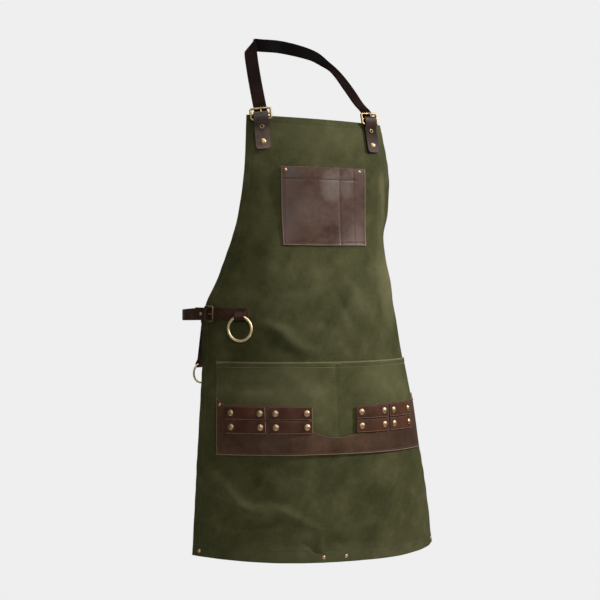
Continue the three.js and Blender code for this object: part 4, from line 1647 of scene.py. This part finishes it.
@dataclass(frozen=True)
class Ring:
    """A loose brass ring in its leather eye, in millimetres."""

    node: str
    wire: float
    segments: int = 72
    sides: int = 18

    def build(self) -> bpy.types.Object:
        """Make the ring."""
        seat = seat_of(self.node)
        radius = (max(seat.extent[:2]) - self.wire) / 2
        turn = np.arange(self.segments) * 2 * math.pi / self.segments
        path = seat.at(radius * np.cos(turn), radius * np.sin(turn), 0)
        shape = Shape()
        wire_loop(shape, path, seat.out, self.wire / 2, seat.extent[2] / 2, self.sides)
        piece = shape.build(f"{self.node}_brass", [MATERIALS[Finish.SATIN]])
        outward(piece.data)
        return settle(piece, self.node, "brass", self.node)


@dataclass(frozen=True)
class StrapHole:
    """A hole punched down to the strap's lining, in millimetres.

    x, y and z are a point near it, and over is the punch's reach over the leather.
    """

    x: float
    y: float
    z: float
    radius: float = 1.25
    depth: float = 1.9
    over: float = 3
    segments: int = 20


@dataclass(frozen=True)
class LeatherPiece:
    """A strap or folded tab, on the form of its solid, with softened edges, in millimetres."""

    node: str
    finish: Finish
    wall: float
    soft: float = 0.7
    swept: bool = False
    slot: str = "strap"
    holes: tuple[StrapHole, ...] = ()

    EDGE_SHARE: ClassVar[float] = 1.3
    EDGE_ANGLE: ClassVar[float] = 40
    DOUBLES: ClassVar[float] = 2e-6

    def sheet(self) -> bpy.types.Mesh:
        """The solid's form as whole faces, with its cut edges in the second slot."""
        work = bmesh.new()
        work.from_mesh(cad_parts[self.node].data)
        bmesh.ops.remove_doubles(work, verts=work.verts, dist=self.DOUBLES)
        if self.swept:
            bmesh.ops.join_triangles(
                work, faces=work.faces, angle_face_threshold=0.6, angle_shape_threshold=3.1
            )
        else:
            edges, verts = list(work.edges), list(work.verts)
            bmesh.ops.dissolve_limit(work, angle_limit=math.radians(1), verts=verts, edges=edges)
        for face in work.faces:
            shortest = min(edge.calc_length() for edge in face.edges)
            thin = self.swept and shortest < self.EDGE_SHARE * self.wall * MM
            face.material_index = int(len(face.verts) > 4 or thin)
        mesh = bpy.data.meshes.new(self.node)
        work.to_mesh(mesh)
        work.free()
        mesh.materials.clear()
        for finish in (self.finish, Finish.BURNISHED):
            mesh.materials.append(MATERIALS[finish])
        return mesh

    def punch(self, piece: bpy.types.Object) -> bpy.types.Object:
        """Cut the holes and keep the result as a plain mesh.

        Args:
            piece: the strap.

        Returns:
            The punched strap.
        """
        graph = bpy.context.evaluated_depsgraph_get()
        shape = Shape()
        for hole in self.holes:
            place = Vector((hole.x, hole.y, hole.z)) * MM
            _, near, out, _ = piece.evaluated_get(graph).closest_point_on_mesh(place)
            axis = np.array(out)
            along = np.cross(axis, UP)
            along /= np.linalg.norm(along)
            seat = Seat(np.array(near) / MM, along, np.cross(axis, along), axis, np.ones(3))
            lathe(shape, seat, rod(hole.radius, -hole.depth, hole.over), hole.segments)
        cutter = shape.build("punch", [MATERIALS[Finish.BURNISHED]])
        outward(cutter.data)
        cut = piece.modifiers.new("Holes", "BOOLEAN")
        cut.operation, cut.solver, cut.object = "DIFFERENCE", "EXACT", cutter
        graph = bpy.context.evaluated_depsgraph_get()
        mesh = bpy.data.meshes.new_from_object(piece.evaluated_get(graph))
        name = piece.name
        bpy.data.objects.remove(cutter)
        bpy.data.objects.remove(piece)
        mesh.name = name
        return show(name, mesh)

    def build(self) -> bpy.types.Object:
        """Make the piece."""
        piece = show(f"{self.node}_leather", self.sheet())
        soften(piece, self.soft, angle=self.EDGE_ANGLE)
        if self.swept:
            smooth = piece.modifiers.new("Supple", "SUBSURF")
            smooth.levels = smooth.render_levels = 2
        if self.holes:
            piece = self.punch(piece)
        return settle(piece, APRON_BODY, self.slot, self.node)


@dataclass(frozen=True)
class Harness:
    """The neck and waist straps with their fittings, in millimetres."""

    strap_wall: float = 2.6
    tab_wall: float = 2.0
    neck_wire: float = 4.4
    neck_corner: float = 3.4
    neck_bar: float = 2.0
    waist_wire: float = 3.4
    waist_corner: float = 3.0
    waist_tip: tuple[float, float, float] = (0.56, -0.83, 0)
    side_wire: float = 5
    rear_wire: float = 4
    neck_holes: tuple[StrapHole, ...] = (
        StrapHole(-111.5, -168.9, -102.8),
        StrapHole(94.6, -149.2, -106.5),
    )

    def build(self) -> list[bpy.types.Object]:
        """Make the straps, tabs, buckles and rings."""
        strap, tab = self.strap_wall, self.tab_wall
        pieces = [
            LeatherPiece("neck_strap", Finish.STRAP, strap, swept=True, holes=self.neck_holes).build(),
            LeatherPiece("waist_strap", Finish.HANGER, strap, swept=True).build(),
            LeatherPiece("side_strap", Finish.HANGER, strap).build(),
            LeatherPiece("waist_fold", Finish.HANGER, tab, soft=0.5).build(),
            LeatherPiece("ring_keeper", Finish.HANGER, tab, soft=0.5, slot="leather").build(),
            LeatherPiece("ring_hanger", Finish.HANGER, tab, soft=0.4).build(),
        ]
        for side in Side:
            name = side.name.lower()
            # The right tab takes the darker copy of the tab leather as painted shade.
            finish = Finish.TAB if side is Side.LEFT else Finish.DARK_TAB
            pieces.append(LeatherPiece(f"bib_tab_{name}", finish, tab, soft=0.5, slot="leather").build())
            nodes = f"neck_buckle_{name}", f"neck_prong_{name}"
            buckle = Buckle(*nodes, self.neck_wire, self.neck_corner, UP, bar=self.neck_bar)
            pieces.append(buckle.build(f"{nodes[0]}_brass"))
        nodes = "waist_buckle", "waist_prong"
        waist = Buckle(*nodes, self.waist_wire, self.waist_corner, self.waist_tip, finish=Finish.AGED)
        pieces.append(waist.build("waist_buckle_brass"))
        pieces += [Ring("side_ring", self.side_wire).build(), Ring("rear_ring", self.rear_wire).build()]
        return pieces


@dataclass(frozen=True)
class Eyelets:
    """Turned brass eyelets in the bib tabs, in millimetres."""

    outer: float = 4.2
    inner: float = 1.9
    height: float = 1.1
    section: int = 12
    segments: int = 32

    def build(self) -> bpy.types.Object:
        """Make both eyelets."""
        shape = Shape()
        nodes = [f"bib_eyelet_{side.name.lower()}" for side in Side]
        middle, half = (self.outer + self.inner) / 2, (self.outer - self.inner) / 2
        turn = np.arange(self.section) * 2 * math.pi / self.section
        profile = [(middle + half * math.cos(t), self.height * (0.5 + 0.5 * math.sin(t))) for t in turn]
        for node in nodes:
            lathe(shape, base_seat(node), profile, self.segments, ring=True)
        piece = shape.build("bib_eyelets", [MATERIALS[Finish.AGED]])
        outward(piece.data)
        return settle(piece, APRON_BODY, "brass", *nodes)


@dataclass(frozen=True)
class Rivets:
    """Domed rivets, one turned head copied to every rivet's place."""

    profile: tuple[tuple[float, float], ...] = (
        (0, 0),
        (0.93, 0),
        (1.0, 0.1),
        (1.0, 0.24),
        (0.95, 0.36),
        (0.86, 0.4),
        (0.8, 0.5),
        (0.66, 0.74),
        (0.45, 0.91),
        (0.22, 0.985),
        (0, 1),
    )
    segments: int = 28
    sharp: float = 60
    reach: float = 6
    sink: float = 0.15
    scale: float = 0.94

    def head(self) -> bpy.types.Object:
        """One head of radius and height 1 metre, on the origin."""
        shape = Shape()
        profile = [(r / MM, h / MM) for r, h in self.profile]
        lathe(shape, Seat(np.zeros(3), *np.eye(3), np.ones(3)), profile, self.segments)
        piece = shape.build("rivet_head", [MATERIALS[Finish.RIVET]])
        outward(piece.data)
        return piece

    def tree(self) -> NodeTree:
        """The tree that sets a head on each place."""
        tree = NodeTree("rivets")
        head = tree.size("Head", "NodeSocketObject")
        finish = tree.size("Finish", "NodeSocketMaterial")
        info = tree.node("GeometryNodeObjectInfo", {}, {"Object": head, "As Instance": True})
        vector = {"data_type": "FLOAT_VECTOR"}
        axis = tree.node("GeometryNodeInputNamedAttribute", vector, {"Name": "axis"})
        span = tree.node("GeometryNodeInputNamedAttribute", vector, {"Name": "span"})
        turn = tree.node("FunctionNodeAlignRotationToVector", {"axis": "Z"}, {"Vector": axis.outputs[0]})
        copies = tree.node(
            "GeometryNodeInstanceOnPoints",
            {},
            {
                "Points": tree.start.outputs["Geometry"],
                "Instance": info.outputs["Geometry"],
                "Rotation": turn.outputs[0],
                "Scale": span.outputs[0],
            },
        )
        tree.close(copies.outputs[0], finish)
        return tree

    def seated(self, seat: Seat, carriers: Sequence[bpy.types.Object]) -> Seat:
        """A rivet's seat, let down on to the piece that carries it.

        Args:
            seat: the seat on the plain solid.
            carriers: the pieces that rivets sit on.

        Returns:
            The seat on the nearest of them.
        """
        graph = bpy.context.evaluated_depsgraph_get()
        start, down = Vector(seat.at(0, 0, self.reach) * MM), Vector(-seat.out)
        far = 3 * self.reach * MM
        hits = [piece.evaluated_get(graph).ray_cast(start, down, distance=far) for piece in carriers]
        found = [hit[1] for hit in hits if hit[0]]
        if not found:
            return seat
        nearest = min(found, key=lambda point: (point - start).length)
        point = np.array(nearest) / MM - seat.out * self.sink
        return Seat(point, seat.along, seat.up, seat.out, seat.extent * self.scale)

    def build(self, carriers: Sequence[bpy.types.Object]) -> bpy.types.Object:
        """Make all the rivets.

        Args:
            carriers: the pieces that they sit on.

        Returns:
            The rivets, as one piece.
        """
        nodes = [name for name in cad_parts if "rivet" in name]
        seats = [self.seated(base_seat(name), carriers) for name in nodes]
        mesh = bpy.data.meshes.new("rivet_places")
        mesh.from_pydata([tuple(seat.point * MM) for seat in seats], [], [])
        for key, values in (("axis", [s.out for s in seats]), ("span", [s.extent * MM for s in seats])):
            layer = mesh.attributes.new(key, "FLOAT_VECTOR", "POINT")
            layer.data.foreach_set("vector", np.array(values, np.float32).ravel())
        carrier = show("rivet_places", mesh)
        head = self.head()
        piece = self.tree().bake(carrier, "rivets", self.sharp, Head=head, Finish=MATERIALS[Finish.RIVET])
        bpy.data.objects.remove(head)
        return settle(piece, APRON_BODY, "brass", *nodes)


PANEL = CanvasPanel()
CHEST_POCKET = ChestPocket()
LOWER_POCKET = LowerPocket()


def seam(s: Array, z: Array, face: Callable[[Array, Array], Array], sink: float) -> Array:
    """Points of a sewn line on a face.

    Args:
        s: places along the cloth.
        z: heights.
        face: lift of the face.
        sink: height of the thread's middle over the face, in millimetres.

    Returns:
        Points in millimetres.
    """
    s, z = np.broadcast_arrays(np.asarray(s, float), np.asarray(z, float))
    return DRAPE.point(s, z, face(s, z) + sink)


@dataclass(frozen=True)
class Stitching:
    """Rows of stitches, one thread form copied along every sewn line, in millimetres."""

    pitch: float = 3.3
    length: float = 2.7
    radius: float = 0.42
    sink: float = 0.12
    step: float = 1.5
    end: float = 3
    mouth_down: float = 2.2
    tack: float = 9
    tack_downs: tuple[float, ...] = (3.1, 4.0)
    rings: int = 6
    sides: int = 6
    sharp: float = 80

    def thread(self) -> bpy.types.Object:
        """One stitch: a short length of thread that dips at both ends."""
        turn = np.arange(self.sides) * 2 * math.pi / self.sides
        rings = []
        for t in np.linspace(-1, 1, self.rings):
            size = self.radius * math.sqrt(max(0.1, 1 - t**4))
            rows = [np.full(self.sides, t * self.length / 2), size * np.cos(turn), size * np.sin(turn)]
            rings.append(np.stack(rows, 1))
        shape = Shape()
        shape.add(np.concatenate(rings), capped(self.rings, self.sides))
        piece = shape.build("stitch", [MATERIALS[Finish.CANVAS_THREAD]], self.sharp)
        outward(piece.data)
        return piece

    def tree(self) -> NodeTree:
        """The tree that lays a stitch at every pitch along the lines."""
        tree = NodeTree("stitches")
        pitch = tree.size("Pitch", "NodeSocketFloat")
        thread = tree.size("Thread", "NodeSocketObject")
        finish = tree.size("Finish", "NodeSocketMaterial")
        lines = tree.node("GeometryNodeMeshToCurve", {}, {"Mesh": tree.start.outputs["Geometry"]})
        places = tree.node(
            "GeometryNodeResampleCurve", {"mode": "LENGTH"}, {"Curve": lines.outputs[0], "Length": pitch}
        )
        info = tree.node("GeometryNodeObjectInfo", {}, {"Object": thread, "As Instance": True})
        tangent = tree.node("GeometryNodeInputTangent")
        turn = tree.node("FunctionNodeAlignRotationToVector", {"axis": "X"}, {"Vector": tangent.outputs[0]})
        copies = tree.node(
            "GeometryNodeInstanceOnPoints",
            {},
            {"Points": places.outputs[0], "Instance": info.outputs["Geometry"], "Rotation": turn.outputs[0]},
        )
        tree.close(copies.outputs[0], finish)
        return tree

    def canvas_lines(self) -> list[Array]:
        """Sewn lines in the canvas's own colour: its hems and the pocket's sides and middle."""
        step, sink = self.step, self.sink
        panel, pocket = PANEL, LOWER_POCKET
        rise = np.arange(panel.hem + panel.hem_rise + self.end, panel.top - 2, step)
        lines = [seam(k * (DRAPE.half(rise) - panel.side_hem), rise, panel.face, sink) for k in (-1, 1)]
        reach = panel.hem_half - self.end
        across = np.arange(-reach, reach + 0.1, step)
        lines.append(seam(across, panel.edge(across / panel.hem_half) + panel.low_hem, panel.face, sink))
        reach = float(DRAPE.half(np.asarray(panel.top))) - self.end
        across = np.arange(-reach, reach + 0.1, step)
        lines.append(seam(across, panel.top - panel.top_hem, panel.face, sink))
        for s in (LOWER.left + pocket.margin, 0.0, LOWER.right - pocket.margin):
            low = LOWER.bottom + float(BASE.height(np.asarray(s)))
            lines.append(seam(s, np.arange(low, LOWER.top - 1, step), pocket.face, sink))
        return lines

    def mouth_lines(self) -> list[Array]:
        """Pale sewn lines along the mouth of the lower pocket, tacked at the ends and the middle."""
        face, top, tack = LOWER_POCKET.face, LOWER.top, self.tack
        across = np.arange(LOWER.left + 1.5, LOWER.right - 1.4, self.step)
        lines = [seam(across, top - down, face, self.sink) for down in (self.mouth_down, LOWER_POCKET.mouth)]
        for s in (LOWER.left + self.end, 0.0, LOWER.right - self.end - tack):
            short = np.arange(s, s + tack, self.step)
            lines += [seam(short, top - down, face, self.sink) for down in self.tack_downs]
        return lines

    def leather_lines(self) -> list[Array]:
        """Sewn lines of the leather: the chest pocket and the pocket base."""
        step, sink, chest = self.step, self.sink, CHEST_POCKET
        m = chest.margin
        up = np.arange(CHEST.bottom + m, CHEST.top - 2, step)
        lines = [seam(s, up, chest.face, sink) for s in (CHEST.left + m, CHEST.right - m)]
        low = np.arange(CHEST.left + m, CHEST.right - m, step)
        lines.append(seam(low, CHEST.bottom + m, chest.face, sink))
        band = np.arange(CHEST.left + m, chest.band_end, step)
        lines.append(seam(band, CHEST.top - chest.band, chest.face, sink))
        slot = np.arange(CHEST.bottom + m, CHEST.top - chest.band, step)
        lines.append(seam(CHEST.parts[1].end, slot, chest.face, sink))
        m = BASE.margin
        across = np.arange(LOWER.left + m, LOWER.right - m + 0.1, step)
        lines.append(seam(across, LOWER.bottom + BASE.inset + m, BASE.face, sink))
        lines.append(seam(across, LOWER.bottom + BASE.height(across) - m, BASE.face, sink))
        for s in (LOWER.left + m, LOWER.right - m):
            top = float(BASE.height(np.asarray(s)))
            lines.append(seam(s, LOWER.bottom + np.arange(m, top - m, step), BASE.face, sink))
        return lines

    def sew(self, name: str, lines: list[Array], finish: Finish, slot: str) -> bpy.types.Object:
        """Make the stitches of one thread.

        Args:
            name: the piece's name.
            lines: its sewn lines.
            finish: the thread's finish.
            slot: the record's material slot.

        Returns:
            The piece.
        """
        mesh = bpy.data.meshes.new(name)
        points, edges = [], []
        for line in lines:
            first = len(points)
            points += [tuple(point * MM) for point in line]
            edges += [(first + i, first + i + 1) for i in range(len(line) - 1)]
        mesh.from_pydata(points, edges, [])
        carrier = show(f"{name}_lines", mesh)
        thread = self.thread()
        sizes = {"Pitch": self.pitch * MM, "Thread": thread, "Finish": MATERIALS[finish]}
        piece = self.tree().bake(carrier, name, self.sharp, **sizes)
        bpy.data.objects.remove(thread)
        return settle(piece, APRON_BODY, slot)

    def build(self) -> list[bpy.types.Object]:
        """Make every thread."""
        return [
            self.sew("canvas_stitches", self.canvas_lines(), Finish.CANVAS_THREAD, "canvas"),
            self.sew("mouth_stitches", self.mouth_lines(), Finish.MOUTH_THREAD, "canvas"),
            self.sew("leather_stitches", self.leather_lines(), Finish.LEATHER_THREAD, "leather"),
        ]


@dataclass(frozen=True)
class Lamp:
    """A soft light: its place and size in metres, and its power."""

    name: str
    place: tuple[float, float, float]
    size: float
    power: float


@dataclass(frozen=True)
class Studio:
    """Pale floor, soft light and the camera; lengths in metres."""

    target: tuple[float, float, float] = (0.0, -0.15, -0.467)
    azimuth: float = -22.0
    elevation: float = 1.5
    distance: float = 4.0
    focal_pixels: float = 2160
    picture: float = 600
    shift_pixels: float = 11.7
    backdrop: float = 0.862
    ambient: float = 0.2
    floor_z: float = -1.2
    floor_radius: float = 0.75
    floor_rim: tuple[tuple[float, float], ...] = ((0.012, -0.02), (0, -0.014), (0, -0.004), (0.005, 0))
    floor_segments: int = 96
    lamps: tuple[Lamp, ...] = (
        Lamp("key", (2.6, -1.7, 1.3), 0.5, 175),
        Lamp("front", (-0.6, -3.0, 0.5), 1.2, 34),
        Lamp("top", (0.1, -0.6, 1.5), 0.9, 30),
        Lamp("back", (0.4, 2.2, 0.4), 1.6, 40),
    )

    def sky(self) -> None:
        """Even pale surroundings, brighter behind the object than as a light on it."""
        world = bpy.data.worlds.new("studio")
        world.use_nodes = True
        tree = world.node_tree
        seen, light = tree.nodes["Background"], tree.nodes.new("ShaderNodeBackground")
        for node, value in ((seen, self.backdrop), (light, self.ambient)):
            node.inputs["Color"].default_value = (value, value, value, 1)
            node.inputs["Strength"].default_value = 1.0
        path, mix = tree.nodes.new("ShaderNodeLightPath"), tree.nodes.new("ShaderNodeMixShader")
        tree.links.new(path.outputs["Is Camera Ray"], mix.inputs[0])
        tree.links.new(light.outputs[0], mix.inputs[1])
        tree.links.new(seen.outputs[0], mix.inputs[2])
        tree.links.new(mix.outputs[0], tree.nodes["World Output"].inputs[0])
        bpy.context.scene.world = world
        bpy.context.scene.view_settings.view_transform = "Standard"

    def floor(self) -> None:
        """A round pale floor under the object."""
        shape = Shape()
        middle = np.array((*self.target[:2], self.floor_z)) / MM
        rim = [((self.floor_radius - inset) / MM, height / MM) for inset, height in self.floor_rim]
        profile = [(0, rim[0][1]), *rim, (0, rim[-1][1])]
        lathe(shape, Seat(middle, *np.eye(3), np.ones(3)), profile, self.floor_segments)
        piece = shape.build("floor", [MATERIALS[Finish.FLOOR]])
        outward(piece.data)

    def lights(self) -> None:
        """The lamps, all turned to the object."""
        for lamp in self.lamps:
            data = bpy.data.lights.new(lamp.name, "AREA")
            data.shape, data.size, data.energy = "DISK", lamp.size, lamp.power
            made = bpy.data.objects.new(lamp.name, data)
            made.location = lamp.place
            made.rotation_euler = (Vector(self.target) - made.location).to_track_quat("-Z", "Y").to_euler()
            bpy.context.scene.collection.objects.link(made)

    def camera(self) -> None:
        """The camera, at the viewing angle."""
        data = bpy.data.cameras.new("camera")
        data.lens = self.focal_pixels / self.picture * data.sensor_width
        data.shift_x = -self.shift_pixels / self.picture
        made = bpy.data.objects.new("camera", data)
        turn, rise = math.radians(self.azimuth), math.radians(self.elevation)
        away = Vector((math.sin(turn) * math.cos(rise), -math.cos(turn) * math.cos(rise), math.sin(rise)))
        made.location = Vector(self.target) + away * self.distance
        made.rotation_euler = (-away).to_track_quat("-Z", "Y").to_euler()
        bpy.context.scene.collection.objects.link(made)
        bpy.context.scene.camera = made

    def build(self) -> None:
        """Set up the studio."""
        self.sky()
        self.floor()
        self.lights()
        self.camera()


def main() -> None:
    """Build the apron and its studio."""
    logging.basicConfig(level=logging.INFO, format="%(name)s: %(message)s")
    carriers = [PANEL.build(), CHEST_POCKET.build(), LOWER_POCKET.build(), BASE.build(), *TOOL_LOOPS.build()]
    carriers += [piece for piece in Harness().build() if piece.name.endswith("_leather")]
    Eyelets().build()
    Rivets().build(carriers)
    Stitching().build()
    Studio().build()


if __name__ == "__main__":
    main()
